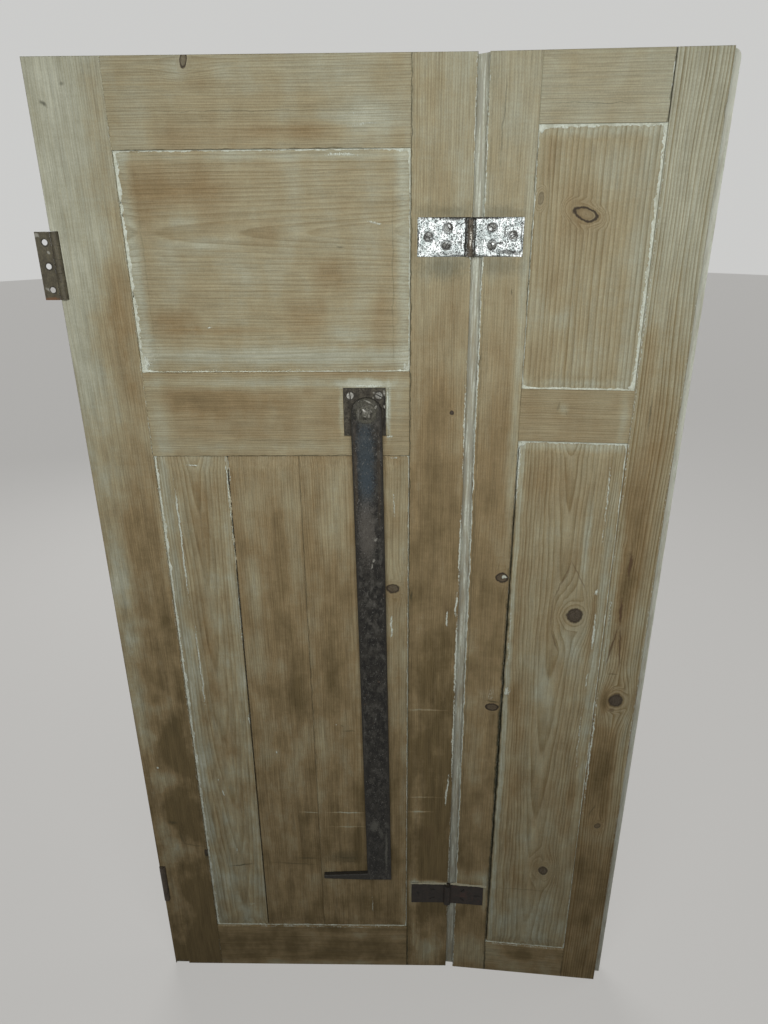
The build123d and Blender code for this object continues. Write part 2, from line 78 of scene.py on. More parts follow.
class Finish:
    """One material, worked up from the plain shader a node at a time."""

    def __init__(self, name):
        self.material = bpy.data.materials.new(name)
        self.material.use_nodes = True
        self.tree = self.material.node_tree
        self.shader = self.tree.nodes["Principled BSDF"]

    def feed(self, socket, value):
        if isinstance(value, bpy.types.NodeSocket):
            self.tree.links.new(value, socket)
        elif socket.type == "RGBA":
            socket.default_value = (*value, 1.0)
        elif value is not None:
            socket.default_value = value

    def add(self, kind, *values, **settings):
        node = self.tree.nodes.new("ShaderNode" + kind)
        for setting, value in settings.items():
            setattr(node, setting, value)
        for socket, value in zip(node.inputs, values):
            if value is not None:
                self.feed(socket, value)
        return node

    def reckon(self, operation, *values):
        return self.add("Math", *values, operation=operation).outputs[0]

    def plus(self, first, second):
        return self.reckon("ADD", first, second)

    def less(self, first, second):
        return self.reckon("SUBTRACT", first, second)

    def times(self, first, second):
        return self.reckon("MULTIPLY", first, second)

    def times_plus(self, value, factor, extra):
        return self.reckon("MULTIPLY_ADD", value, factor, extra)

    def most(self, first, second):
        return self.reckon("MAXIMUM", first, second)

    def span(self, value, low, high, low_out=0.0, high_out=1.0):
        """Carries a value from one span to another, easing in and out and stopping at its ends."""
        node = self.add("MapRange", value, low, high, low_out, high_out)
        node.interpolation_type = "SMOOTHSTEP"
        return node.outputs[0]

    def mix(self, share, first, second, how="MIX"):
        node = self.add("Mix", data_type="RGBA", blend_type=how)
        self.feed(node.inputs[0], share)
        self.feed(node.inputs[6], first)
        self.feed(node.inputs[7], second)
        return node.outputs[2]

    def surface(self, **inputs):
        """Sets or feeds the shader's own inputs, with a low line for each space in a name."""
        for name, value in inputs.items():
            self.feed(self.shader.inputs[name.replace("_", " ")], value)

    def relief(self, height, strength, distance):
        """Raises the surface finely, as grain, grit and rust do."""
        bump = self.add("Bump")
        bump.inputs["Strength"].default_value = strength
        bump.inputs["Distance"].default_value = distance
        self.feed(bump.inputs["Height"], height)
        self.surface(Normal=bump.outputs[0])


def piece_of(shape, name, material):
    """Turns a finished shape into an object with its material."""
    mesh = bpy.data.meshes.new(name)
    shape.to_mesh(mesh)
    shape.free()
    mesh.materials.append(material)
    return stand(name, mesh)


paper_colour = (0.16, 0.157, 0.152)
paper_glow_colour = (0.62, 0.61, 0.59)
paper_glow = 0.62
paper_radius = 9.0
paper = Finish("studio_paper")
seen = paper.add("LightPath")
seen_ray = paper.most(seen.outputs["Is Camera Ray"], seen.outputs["Is Glossy Ray"])
paper.surface(
    Base_Color=paper_colour, Roughness=0.9, Emission_Color=paper_glow_colour,
    Emission_Strength=paper.times(seen_ray, paper_glow))
sheet = bmesh.new()
bmesh.ops.create_circle(sheet, cap_ends=True, segments=96, radius=paper_radius)
piece_of(sheet, "floor", paper.material)

room_glow = 0.06
backdrop_colour = (0.6, 0.6, 0.59, 1.0)
surroundings = bpy.data.worlds.new("surroundings")
surroundings.use_nodes = True
bpy.context.scene.world = surroundings
sky = surroundings.node_tree
lit = sky.nodes["Background"]
lit.inputs["Color"].default_value = (1.0, 1.0, 1.0, 1.0)
lit.inputs["Strength"].default_value = room_glow
backdrop = sky.nodes.new("ShaderNodeBackground")
backdrop.inputs["Color"].default_value = backdrop_colour
backdrop.inputs["Strength"].default_value = 1.0
ray = sky.nodes.new("ShaderNodeLightPath")
both = sky.nodes.new("ShaderNodeMath")
both.operation = "MAXIMUM"
sky.links.new(ray.outputs["Is Camera Ray"], both.inputs[0])
sky.links.new(ray.outputs["Is Glossy Ray"], both.inputs[1])
chosen = sky.nodes.new("ShaderNodeMixShader")
sky.links.new(both.outputs[0], chosen.inputs[0])
sky.links.new(lit.outputs[0], chosen.inputs[1])
sky.links.new(backdrop.outputs[0], chosen.inputs[2])
sky.links.new(chosen.outputs[0], sky.nodes["World Output"].inputs["Surface"])

for lamp_name, watts, width, height, place, target in (
        ("front_lamp", 7.6, 0.9, 0.3, (0.01, -0.82, 1.16), (0.01, 0.0, 0.72)),
        ("back_lamp", 26.0, 1.4, 1.4, (-0.5, 1.7, 1.5), (0.0, 0.0, 0.6)),
        ("side_lamp", 5.0, 0.9, 0.9, (1.9, 0.5, 1.2), (0.2, 0.0, 0.6))):
    lamp_data = bpy.data.lights.new(lamp_name, "AREA")
    lamp_data.shape = "RECTANGLE"
    lamp_data.energy = watts
    lamp_data.size = width
    lamp_data.size_y = height
    aim = (Vector(target) - Vector(place)).to_track_quat("-Z", "Y")
    lamp = stand(lamp_name, lamp_data)
    lamp.matrix_world = Matrix.Translation(place) @ aim.to_matrix().to_4x4()

# The hanging stile: the wide leaf's left upright, old slow-grown pine that has been stripped
# of its paint, mortised for three rails. A grey bloom from the stripping is left on it.

millimetres = 1000.0
leaf_height = 1168.0
front_marks_end = (15.0, 12.0)
rebate_paint_end = (27.6, 26.5)
wander = 5.0
seed_strides = (31.7, 13.1, 7.9)
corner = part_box("main_hanging_stile")[0] * millimetres
fold = next(joint for joint in frame["joints"] if joint["name"] == "flap_fold")
fold_pin = fold["pos_m"]
ajar = -math.radians(fold["range_deg"][0])
right_through = 1.0e5

haze_colour = (0.5, 0.51, 0.405)
bloom_colour = (0.388, 0.384, 0.285)
clean_colour = (0.343, 0.302, 0.19)
tanned_colour = (0.271, 0.206, 0.11)
darkest_brown_colour = (0.155, 0.116, 0.056)
summer_wood_tint = (0.6, 0.52, 0.4)
old_paint_colours = ((0.47, 0.49, 0.39), (0.64, 0.68, 0.59))
grime_and_shade_colour = (0.034, 0.036, 0.021)
knot_colour = (0.045, 0.034, 0.024)
knot_face_colour = (0.095, 0.078, 0.06)
resin_colour = (0.105, 0.066, 0.036)


class ShutterFinish(Finish):
    """A finish placed in millimetres from the wide leaf's left arris, its face and its foot."""

    def __init__(self, name, on_flap):
        super().__init__(name)
        place = self.add("TexCoord").outputs["Object"]
        if on_flap:
            place = self.add(
                "VectorRotate", place, fold_pin, None, ajar, rotation_type="Z_AXIS").outputs[0]
        self.place = self.add(
            "Mapping", place, (-corner.x, -corner.y, -corner.z), None,
            (millimetres, millimetres, millimetres)).outputs[0]
        drift = self.add("TexNoise", self.place, None, 0.07, 3.0).outputs["Color"]
        drift = self.add(
            "VectorMath", drift, (wander, 0.0, wander), (-wander / 2, 0.0, -wander / 2),
            operation="MULTIPLY_ADD").outputs[0]
        self.wandering = self.add("VectorMath", self.place, drift, operation="ADD").outputs[0]

    def cloud(self, seed, across, depth, up, detail=2.0, roughness=0.5):
        """Soft irregular patches of about the given size in each direction, from 0 to 1."""
        stretched = self.add(
            "Mapping", self.place, [stride * seed for stride in seed_strides], None,
            (1 / across, 1 / depth, 1 / up)).outputs[0]
        return self.add("TexNoise", stretched, None, 1.0, detail, roughness).outputs[0]

    def swing(self, value, amount):
        """Turns a cloud into a push either way."""
        return self.times_plus(value, 2.0 * amount, -amount)

    def oval(self, x, z, half_width, half_height, turn=0.0):
        """Distance from an oval's middle, as a share of its half sizes, right through the wood."""
        moved = self.add(
            "Mapping", self.wandering, (x, 0.0, z), (0.0, math.radians(turn), 0.0),
            (half_width, right_through, half_height), vector_type="TEXTURE").outputs[0]
        return self.add("VectorMath", moved, operation="LENGTH").outputs["Value"]


def pine(
        name, grain, heart, ring, tone, seed, lean=0.0, lean_from=0.0, sway=2.0, waver=0.2,
        contrast=0.5, mottle=1.0, knots=(), resin=(), patches=(), paint=(), grime_and_shade=(),
        unscraped=None, on_flap=False):
    """Stripped pine. The year rings lie about a heart given as (across the grain, depth);
    tone at the foot and the top runs from 0, grey with bloom, to 1, tanned brown.
    Each mark is an oval: its middle across and up, its half width and half height, then its
    turn in degrees and its strength. A patch has no turn, and its last value is a change of
    tone. A knot ends with the strengths of its face and rim, and with how many times its
    size the rings part about it, and by how much.
    Lean tips the rings along the grain, sway and waver bend them, contrast darkens their
    summer wood and mottle clouds the bloom. Unscraped paint is given as the depth where it
    begins, its colour and its cover."""
    wood = ShutterFinish(name, on_flap)
    x, y, z = wood.add("SeparateXYZ", wood.place).outputs
    across, along = (x, z) if grain == "up" else (z, x)

    def figure(step, narrow, long, detail=2.0, roughness=0.5):
        sides = (narrow, long) if grain == "up" else (long, narrow)
        return wood.cloud(seed + step, sides[0], narrow, sides[1], detail, roughness)

    # Year rings: pale spring wood darkening to a hard edge of summer wood
    from_heart = wood.less(across, heart[0])
    from_heart = wood.plus(from_heart, wood.swing(figure(0, 70.0, 260.0, 1.5), 2.0 * sway))
    from_heart = wood.plus(from_heart, wood.swing(figure(3, 7.0, 90.0, 1.0), 0.45))
    from_heart = wood.plus(from_heart, wood.swing(figure(5, 15.0, 46.0, 2.0), waver))
    deep = wood.less(y, heart[1])
    deep = wood.times_plus(wood.less(along, lean_from), lean, deep)
    from_pith = wood.add(
        "VectorMath", wood.add("CombineXYZ", from_heart, deep, 0.0).outputs[0],
        operation="LENGTH").outputs["Value"]

    # The rings part round each knot, and the nearest ones close about it
    for knot_x, knot_z, half_width, half_height, turn, _, _, reach, push in knots:
        spread = max(half_width, half_height) * reach
        wide, tall = (spread, 2.1 * spread) if grain == "up" else (2.1 * spread, spread)
        from_heart_to_knot = (knot_x if grain == "up" else knot_z) - heart[0]
        aside = wood.less(from_heart, from_heart_to_knot)
        pushed = math.copysign(push, -from_heart_to_knot)
        parting = wood.span(wood.oval(knot_x, knot_z, wide, tall), 1.0, 0.1, 0.0, pushed)
        from_pith = wood.times_plus(aside, parting, from_pith)
        own_rings = wood.oval(knot_x, knot_z, half_width, half_height, turn)
        closing = wood.span(own_rings, 2.5, 1.3, 0.0, 0.9)
        own_rings = wood.times_plus(own_rings, 0.8 * half_width, abs(from_heart_to_knot))
        from_pith = wood.times_plus(wood.less(own_rings, from_pith), closing, from_pith)
    years = wood.reckon("DIVIDE", from_pith, ring)
    good_years = wood.add("TexNoise", None, years, 0.23, 1.0, noise_dimensions="1D").outputs[0]
    years = wood.times_plus(good_years, 1.6, years)
    season = wood.reckon("FRACT", years)
    hardness = wood.add(
        "TexWhiteNoise", None, wood.reckon("FLOOR", years), noise_dimensions="1D").outputs[0]
    summer = wood.times(wood.reckon("POWER", season, 1.8), wood.span(season, 1.0, 0.86))
    summer = wood.times(summer, wood.times_plus(hardness, 0.5, 0.6))

    # Tone: bloom in clouds over the clean wood, darker and browner towards the foot as each piece's
    # tone is given
    streak = figure(11, 5.0, 120.0, 3.0, 0.6)
    level = wood.span(z, 0.0, leaf_height, *tone)
    soft = wood.cloud(seed + 7, 30.0, 30.0, 52.0, 4.0, 0.58)
    sheltered_above, weathered_below = 1050.0, 250.0
    weathered = wood.span(z, sheltered_above, weathered_below, mottle, 2.3 * mottle)
    level = wood.times_plus(wood.swing(soft, 0.5), weathered, level)
    level = wood.plus(level, wood.swing(streak, 0.12 * mottle))
    scraped = wood.cloud(seed + 13, 16.0, 16.0, 2.6, 2.0) if grain == "up" else soft
    level = wood.plus(level, wood.swing(scraped, 0.12))
    rough_edge = wood.swing(wood.cloud(seed + 17, 2.2, 6.0, 4.0, 3.0, 0.65), 0.9)
    rough_edge = wood.plus(rough_edge, wood.swing(wood.cloud(seed + 19, 16.0, 16.0, 24.0), 0.8))
    room_side = wood.span(y, *front_marks_end)
    changes = 0.0
    for *oval, change in patches:
        reach = wood.times_plus(rough_edge, 0.22, wood.oval(*oval))
        changes = wood.plus(changes, wood.span(reach, 1.5, 0.0, 0.0, change))
    level = wood.times_plus(changes, room_side, level)
    bloom_at, clean_at, tanned_at = 0.238, 0.452, 0.714
    tones = wood.add("ValToRGB", wood.times_plus(level, tanned_at - bloom_at, bloom_at))
    stops = tones.color_ramp.elements
    stops[0].color = (*haze_colour, 1.0)
    stops[1].color = (*darkest_brown_colour, 1.0)
    for position, stop_colour in (
            (bloom_at, bloom_colour), (clean_at, clean_colour), (tanned_at, tanned_colour)):
        stops.new(position).color = (*stop_colour, 1.0)
    colour = tones.outputs[0]
    line = wood.times(summer, wood.span(streak, 0.25, 0.75, contrast, 1.7 * contrast))
    colour = wood.mix(line, colour, wood.mix(1.0, colour, summer_wood_tint, "MULTIPLY"))
    fibre = figure(23, 0.9, 26.0, 2.0, 0.6)
    pores = wood.cloud(seed + 27, 0.9, 0.9, 1.6, 1.0)
    fleck = wood.plus(
        wood.span(fibre, 0.25, 0.75, 0.88, 1.12), wood.span(pores, 0.2, 0.8, -0.08, 0.08))
    streaking = wood.swing(figure(41, 6.0, 70.0, 4.0, 0.65), 0.2)
    fleck = wood.plus(fleck, wood.times(streaking, weathered))
    shade = wood.add("CombineColor", fleck, fleck, fleck).outputs[0]
    colour = wood.mix(1.0, colour, shade, "MULTIPLY")

    # Knots: a dark rim and a brown face, in a tanned halo
    halo_reach, face_reach, rim_reach, rim_width = 2.6, 1.08, 0.95, 0.26
    for *oval, fill, rim, _, _ in knots:
        far = wood.times_plus(rough_edge, 0.2, wood.oval(*oval))
        colour = wood.mix(wood.span(far, halo_reach, 1.0, 0.0, 0.25), colour, tanned_colour)
        face = wood.mix(wood.span(pores, 0.3, 0.7), knot_colour, knot_face_colour)
        colour = wood.mix(wood.span(far, face_reach, 0.9, 0.0, fill), colour, face)
        from_rim = wood.reckon("ABSOLUTE", wood.less(far, rim_reach))
        colour = wood.mix(wood.span(from_rim, rim_width, 0.06, 0.0, rim), colour, knot_colour)
    for *oval, strength in resin:
        far = wood.times_plus(rough_edge, 0.3, wood.oval(*oval))
        colour = wood.mix(wood.span(far, 1.15, 0.45, 0.0, strength), colour, resin_colour)

    # Grime in the joints and scuffs, with painted shade in a few places, then what is left of the
    # old paint, all on the room side
    dirt_and_shade = 0.0
    for *oval, strength in grime_and_shade:
        far = wood.times_plus(rough_edge, 0.6, wood.oval(*oval))
        dirt_and_shade = wood.most(dirt_and_shade, wood.span(far, 1.3, 0.1, 0.0, strength))
    colour = wood.mix(wood.times(dirt_and_shade, room_side), colour, grime_and_shade_colour)
    crumbs = wood.cloud(seed + 31, 1.1, 1.1, 2.6, 3.0, 0.6)
    paint_colour = wood.mix(wood.span(crumbs, 0.3, 0.65), *old_paint_colours)
    if unscraped is not None:
        depth, film_colour, cover = unscraped
        left_on = wood.times(wood.span(y, depth, depth + 0.8), wood.span(y, *rebate_paint_end))
        flakes = wood.cloud(seed + 29, 5.0, 5.0, 34.0, 4.0, 0.65)
        flaked = wood.span(flakes, 0.3, 0.62, 0.5 * cover, cover)
        runs = wood.cloud(seed + 37, 2.0, 2.0, 46.0, 4.0, 0.6)
        thick = wood.span(runs, 0.46, 0.6, 0.0, 0.85)
        film = wood.mix(thick, film_colour, paint_colour)
        colour = wood.mix(wood.times(left_on, flaked), colour, film)
    covered = None
    for *oval, strength in paint:
        far = wood.times_plus(rough_edge, 0.8, wood.oval(*oval))
        mark = wood.span(far, 1.3, 0.3, 0.0, strength)
        covered = mark if covered is None else wood.most(covered, mark)
    height = wood.times_plus(fibre, 0.4, wood.times(summer, 0.6))
    if covered is not None:
        covered = wood.span(wood.plus(covered, wood.swing(crumbs, 0.7)), 0.36, 0.85)
        covered = wood.times(covered, room_side)
        colour = wood.mix(covered, colour, paint_colour)
        height = wood.times_plus(covered, 1.6, height)

    wood.surface(
        Base_Color=colour, Roughness=wood.span(summer, 0.0, 1.0, 0.8, 0.64),
        Specular_IOR_Level=0.15)
    wood.relief(height, strength=0.8, distance=0.0003)
    return wood.material


def dress(material, *names):
    """Gives a finish to the named pieces of the frame."""
    for name in names:
        nodes[name].data.materials.clear()
        nodes[name].data.materials.append(material)


dress(pine(
    "hanging_stile_pine", "up", (-140, 40), 2.4, (1.72, -0.05), 1, sway=3, contrast=0.35,
    mottle=1.3, knots=[(67.3, 222.9, 2.6, 5, 0, 1, 0.9, 3, 0.6)],
    patches=[
        (20, 1120, 30, 50, -0.2), (60, 1090, 16, 60, 0.3), (35, 760, 70, 330, 0.25),
        (26, 480, 14, 12, 0.6), (42, 285, 22, 14, 1.1), (47, 146, 20, 26, 1.5),
        (13, 110, 13, 80, -0.7), (12, 950, 28, 130, -0.45), (48, 1010, 16, 26, -0.25),
        (60, 960, 18, 110, 0.45), (8, 760, 18, 160, -0.3), (58, 770, 20, 190, 0.2),
        (11, 615, 17, 100, -0.7), (52, 440, 22, 200, 0.25), (36, 710, 26, 60, 0.2),
        (50, 925, 18, 34, 0.35), (24, 590, 22, 8, -0.4), (8, 400, 16, 150, -0.8),
        (16, 222, 18, 46, -0.9), (56, 610, 10, 90, 0.25), (30, 470, 28, 24, -0.4),
        (50, 408, 20, 34, 0.5), (36, 352, 30, 18, -0.65), (48, 300, 22, 20, 0.5),
        (42, 226, 30, 22, -0.8), (52, 60, 20, 50, 0.5)],
    grime_and_shade=[
        (14, 1131, 4.5, 2.2, 40, 0.7), (33, 1147, 2.5, 1.6, 0, 0.5), (37, 250, 12, 2.5, 80, 0.4),
        (66.5, 218, 2.5, 10, 0, 0.5), (45, 440, 14, 30, 0, 0.12), (28, 278, 7, 4, 0, 0.5),
        (50, 238, 20, 1.3, 12, 0.4)],
    paint=[(69.4, 600, 0.7, 900, 0, 0.5), (20, 372, 2.4, 2, 0, 0.9), (2, 1, 14, 3, 0, 0.6)]),
    "main_hanging_stile")

# The flap side stile: the wide leaf's right upright, straight-grained pine with one pin knot.
# Its arris has ragged ends of paint that the scraper missed.

dress(pine(
    "flap_side_stile_pine", "up", (180, 60), 2.3, (1.95, 0.25), 31, sway=2, contrast=0.45,
    mottle=1.15, knots=[(386, 844.9, 2.2, 2.4, 0, 1, 0.8, 3, 0.5)],
    patches=[
        (370, 760, 60, 330, 0.4), (371, 990, 40, 16, -0.25), (362, 760, 18, 120, 0.2),
        (386, 590, 18, 24, -0.35), (372, 520, 22, 50, 0.25), (350, 470, 7, 90, -0.4),
        (352, 170, 9, 140, -0.9), (360, 270, 12, 90, -0.4), (385, 280, 12, 40, 0.15),
        (372, 40, 34, 60, -1.3), (376, 650, 18, 70, -0.25), (375, 172, 30, 8, -0.7),
        (366, 466, 24, 1.3, -0.9), (366, 325, 24, 1, -1), (362, 300, 20, 1.3, -1.2),
        (372, 171, 28, 4, -1), (347, 150, 3, 26, -0.8), (374, 260, 16, 40, 0.6)],
    grime_and_shade=[
        # The ovals at 990 and 1039 grey the wood above and below the upper backflap: dirt and
        # painted shade.
        (342.6, 800, 0.8, 700, 0, 0.8), (374, 990, 30, 16, 0, 0.42), (374, 1039, 30, 9, 0, 0.34),
        (342.8, 200, 1.6, 90, 0, 0.4), (345.2, 627, 1.8, 7, 0, 0.7), (342.8, 40, 1.4, 60, 0, 0.9)],
    paint=[
        (399.4, 1120, 1, 60, 0, 0.7), (399.3, 1010, 1.4, 30, 0, 0.8), (399.2, 830, 1.4, 70, 0, 0.7),
        (399.2, 690, 1.5, 60, 0, 0.85), (397.2, 616, 1.7, 17, 0, 1), (399.1, 545, 1.8, 64, 0, 1),
        (399.1, 420, 1.5, 90, 0, 0.85), (393.6, 334, 1.6, 33, 3.5, 0.9),
        (387, 597, 1.3, 14, -2, 0.9), (399.3, 200, 1, 120, 0, 0.7)],
    resin=[(370, 258, 12, 18, 0, 0.25), (385, 610, 5, 18, 0, 0.2)]),
    "main_flap_side_stile")

# The wide leaf's three rails: pine with the grain across, shouldered between the stiles on
# through tenons, which are wedged from the edges.

dress(pine(
    "main_top_rail_pine", "across", (960, 60), 2.3, (0.55, 0.3), 61, sway=1.5, contrast=0.5,
    mottle=0.8, knots=[(143.1, 1164, 3.2, 5.6, 12, 0.6, 0.9, 3.6, 0.7)],
    patches=[
        (90, 1105, 22, 16, -0.35), (240, 1108, 50, 8, 0.4), (200, 1130, 90, 10, 0.2),
        (150, 1145, 40, 6, 0.25), (300, 1118, 36, 14, -0.5), (150, 1104, 110, 16, 0.35)],
    grime_and_shade=[(205, 1093.2, 200, 0.7, 0, 0.6), (205, 1124, 140, 0.5, 0, 0.35)],
    paint=[(306, 1114, 24, 1.4, -8, 0.5), (290, 1121, 18, 1, -4, 0.4)]),
    "main_top_rail")
dress(pine(
    "main_middle_rail_pine", "across", (980, 20), 2.3, (0.75, 0.75), 71, sway=3, contrast=0.45,
    mottle=0.8,
    patches=[
        (140, 858, 60, 16, 0.4), (82, 832, 14, 50, -0.5), (296, 875.5, 26, 5.5, -1.5),
        (170, 808, 130, 9, -0.4), (271.5, 848, 2.6, 28, -0.6), (320, 846, 3.2, 30, -1.3),
        (190, 877, 150, 8, -0.6), (330, 858, 12, 26, -0.3)],
    grime_and_shade=[(205, 798.4, 200, 0.6, 0, 0.7), (205, 816, 120, 0.5, 0, 0.35)],
    paint=[(299, 873.4, 22, 1.9, 0, 0.8), (319.4, 852, 1.3, 20, 0, 1), (321, 819, 4, 1.5, 0, 0.8)]),
    "main_middle_rail")
dress(pine(
    "main_bottom_rail_pine", "across", (-90, 30), 2.5, (1.35, 1.35), 81, sway=2, contrast=0.4,
    patches=[(205, 4, 200, 8, -0.6), (130, 55, 70, 14, 0.25), (270, 62, 70, 10, -0.7)],
    grime_and_shade=[(205, 30, 150, 0.7, 0.5, 0.35)], paint=[(205, 79.8, 200, 0.8, 0, 0.5)]),
    "main_bottom_rail")
dress(pine(
    "wedge_pine", "across", (40, 60), 1.8, (0.9, 0.9), 91, contrast=0.4),
    "main_tenon_wedges")

# The wide leaf's upper panel: one wide board of pine laid with its grain across, its four
# edges thinned to fit the grooves. A pale bloom follows the thinned edges.

dress(pine(
    "main_upper_panel_pine", "across", (1022, 22), 3.4, (0.5, 0.4), 101, lean=0.04, lean_from=153,
    sway=4, contrast=0.5, mottle=0.9,
    patches=[
        (125, 1033, 20, 12, -0.5), (140, 1012, 34, 9, -0.45), (205, 1020, 22, 12, 0.3),
        (270, 985, 30, 16, 0.35), (236, 942, 26, 20, 0.3), (312, 945, 9, 34, 0.35),
        (160, 930, 60, 5, 0.4), (285, 925, 26, 8, -0.4), (76, 990, 9, 300, -0.55),
        (336, 990, 8, 300, -0.45), (205, 1088, 300, 5, -0.3), (215, 904, 220, 10, -0.55),
        (100, 938, 30, 16, 0.6), (110, 1058, 90, 46, 0.4), (125, 1060, 60, 10, 0.2)],
    grime_and_shade=[
        # The long upright lines at 86.5 and 325.5 darken where the field begins: dirt and painted
        # shade.
        (276, 1008, 3.5, 1, 0, 0.5), (86.5, 990, 1, 110, 0, 0.15), (325.5, 980, 0.8, 100, 0, 0.25)],
    paint=[
        (69.8, 960, 2, 420, 0, 0.7), (72, 896, 7, 9, 20, 0.95), (205, 1092.6, 500, 1.4, 0, 0.45),
        (205, 888.6, 500, 1.4, 0, 0.45), (341.6, 980, 1.2, 420, 0, 0.6),
        (309, 1029.5, 10, 1.6, 8, 0.6), (142.6, 932.9, 3, 1, 0, 0.85), (280, 1088, 16, 1.6, 0, 0.8),
        (338, 894, 4, 6, 0, 0.6)]),
    "main_upper_panel")

# The wide leaf's lower panel: three upright boards glued edge to edge, of which the left has
# come away. Paint is left in the open joint and down the line where the raised part begins.

dress(pine(
    "left_board_pine", "up", (112, 18), 2.9, (0.5, 0.5), 111, lean=0.03, lean_from=730, sway=4,
    waver=0.8, contrast=0.65, mottle=1.2,
    patches=[
        (113, 720, 12, 60, 0.55), (104, 560, 10, 110, 0.4), (110, 420, 16, 60, 0.25),
        (77, 440, 7, 1400, -0.45), (140, 620, 6, 160, -0.4), (128, 330, 12, 60, 0.25),
        (100, 150, 40, 50, -0.25)],
    grime_and_shade=[(114, 200, 15, 1.6, -7, 0.75)],
    paint=[
        (70.4, 440, 1.6, 1400, 0, 0.75), (88, 690, 1.3, 90, 0, 0.9), (91.2, 526, 1.2, 62, 0, 0.85),
        (146.4, 745, 1.5, 70, 0, 0.85), (145.5, 600, 0.9, 70, 0, 0.6), (144.5, 450, 1.2, 8, 0, 0.9),
        (110, 787, 8, 0.9, 0, 0.7), (105, 81.2, 60, 1.2, 0, 0.7), (124, 124, 7, 3, 0, 0.5),
        (101, 330, 1, 6, -8, 0.9), (110, 228, 1, 5, 0, 0.9), (96, 352, 1, 3, 0, 0.9)]),
    "main_lower_board_left")
dress(pine(
    "middle_board_pine", "up", (60, 60), 2.4, (1.12, 0.72), 121, sway=3, contrast=0.5,
    patches=[
        (195, 650, 14, 110, 0.35), (207, 500, 14, 70, 0.55), (165, 620, 8, 140, -0.4),
        (180, 470, 10, 60, 0.25), (160, 380, 10, 90, -0.35), (190, 300, 26, 40, 0.2),
        (212, 700, 8, 60, -0.25), (200, 350, 16, 40, -0.3), (214, 297, 14, 0.9, -1.4)],
    grime_and_shade=[(188, 204, 38, 1.2, 4, 0.45), (206, 214, 16, 2, 2, 0.5)],
    paint=[(149, 780, 1, 20, 0, 0.6), (205, 81.2, 90, 1.2, 0, 0.75), (175, 398, 1.2, 2, 0, 0.8)]),
    "main_lower_board_middle")
dress(pine(
    "right_board_pine", "up", (420, 70), 2.6, (1, 0.85), 131, sway=3, contrast=0.5,
    knots=[(324.4, 636.6, 7.4, 5.2, 0, 0.8, 0.9, 2.6, 0.7)],
    patches=[
        (258, 730, 16, 60, -0.35), (248, 540, 16, 90, 0.5), (275, 240, 7, 40, 0.7),
        (236, 420, 8, 110, -0.35), (326, 700, 14, 120, -0.4), (262, 380, 8, 80, -0.25),
        (320, 560, 14, 90, -0.15), (300, 250, 60, 190, 0.4), (245, 300, 10, 50, 0.25),
        (285, 110, 40, 30, 0.2), (337, 440, 5, 1200, -0.3), (262, 297, 24, 0.9, -1.6),
        (262, 272, 24, 0.8, -1)],
    grime_and_shade=[
        (258, 216, 26, 3.2, 3, 0.6), (224.6, 500, 0.5, 700, 0, 0.6), (262, 209, 18, 1.6, 4, 0.5),
        (256, 216, 36, 13, 0, 0.42), (268, 432, 9, 1.4, -6, 0.5), (261, 440, 3.4, 1.2, 30, 0.45)],
    paint=[
        (341.6, 440, 0.8, 900, 0, 0.6), (325.5, 742, 0.9, 20, -3, 0.7), (322.5, 584, 1.8, 19, 0, 1),
        (290, 81.2, 90, 1.2, 0, 0.75), (294, 125, 0.7, 20, 0, 0.85), (252, 442, 1, 1, 0, 0.9),
        (326, 795, 8, 1.2, 0, 0.6)]),
    "main_lower_board_right")

# The flap's hinge stile: a rebated upright whose back lip laps behind the wide leaf. The
# rebate was never scraped and is still grey-green with old paint.

lip_film = (0.345, 0.345, 0.283)
dress(pine(
    "flap_hinge_stile_pine", "up", (560, 50), 2.6, (1.3, 0.15), 141, sway=3, contrast=0.42,
    mottle=0.9,
    knots=[(447.4, 653.5, 6.6, 6, 0, 0.8, 1, 2.4, 0.7), (445, 474.1, 7.4, 5, 0, 0.8, 1, 2.4, 0.7)],
    patches=[
        (430, 790, 60, 320, 0.5), (425, 990, 30, 14, -0.3), (430, 800, 12, 60, 0.2),
        (432, 590, 20, 90, 0.2), (430, 300, 24, 60, -0.15), (430, 40, 34, 50, -0.7),
        (451, 870, 6, 180, -0.6), (430, 185, 40, 15, -0.75), (450, 150, 4, 40, -0.8)],
    grime_and_shade=[
        # The line at 413.4, beside the painted arris, is painted shade.
        (455.4, 340, 2.5, 440, 0, 0.95), (413.4, 600, 1.2, 600, 0, 0.35),
        (455.3, 990, 0.8, 140, 0, 0.7), (440, 966.5, 1.2, 3, 0, 0.6), (424, 1110, 0.9, 40, 2, 0.4),
        # The ovals at 991 and 1038 grey the wood above and below the upper backflap: dirt and
        # painted shade.
        (411.5, 898, 1.2, 8, 4, 0.7), (425, 991, 28, 12, 0, 0.32), (425, 1038, 28, 8, 0, 0.3),
        (446, 482, 11, 1.6, 8, 0.6)],
    paint=[
        (410.7, 1060, 1.1, 150, 0, 0.75), (410.4, 560, 1, 900, 0, 1), (450.2, 655, 3.4, 2.8, 0, 1),
        (443, 492, 7, 10, 0, 0.36)],
    unscraped=(5, lip_film, 0.95), on_flap=True),
    "flap_hinge_stile")

# The flap's closing stile: the right upright, rebated along its front edge to meet the next
# leaf. Its grain flows round a knot, with a pocket of resin above it.

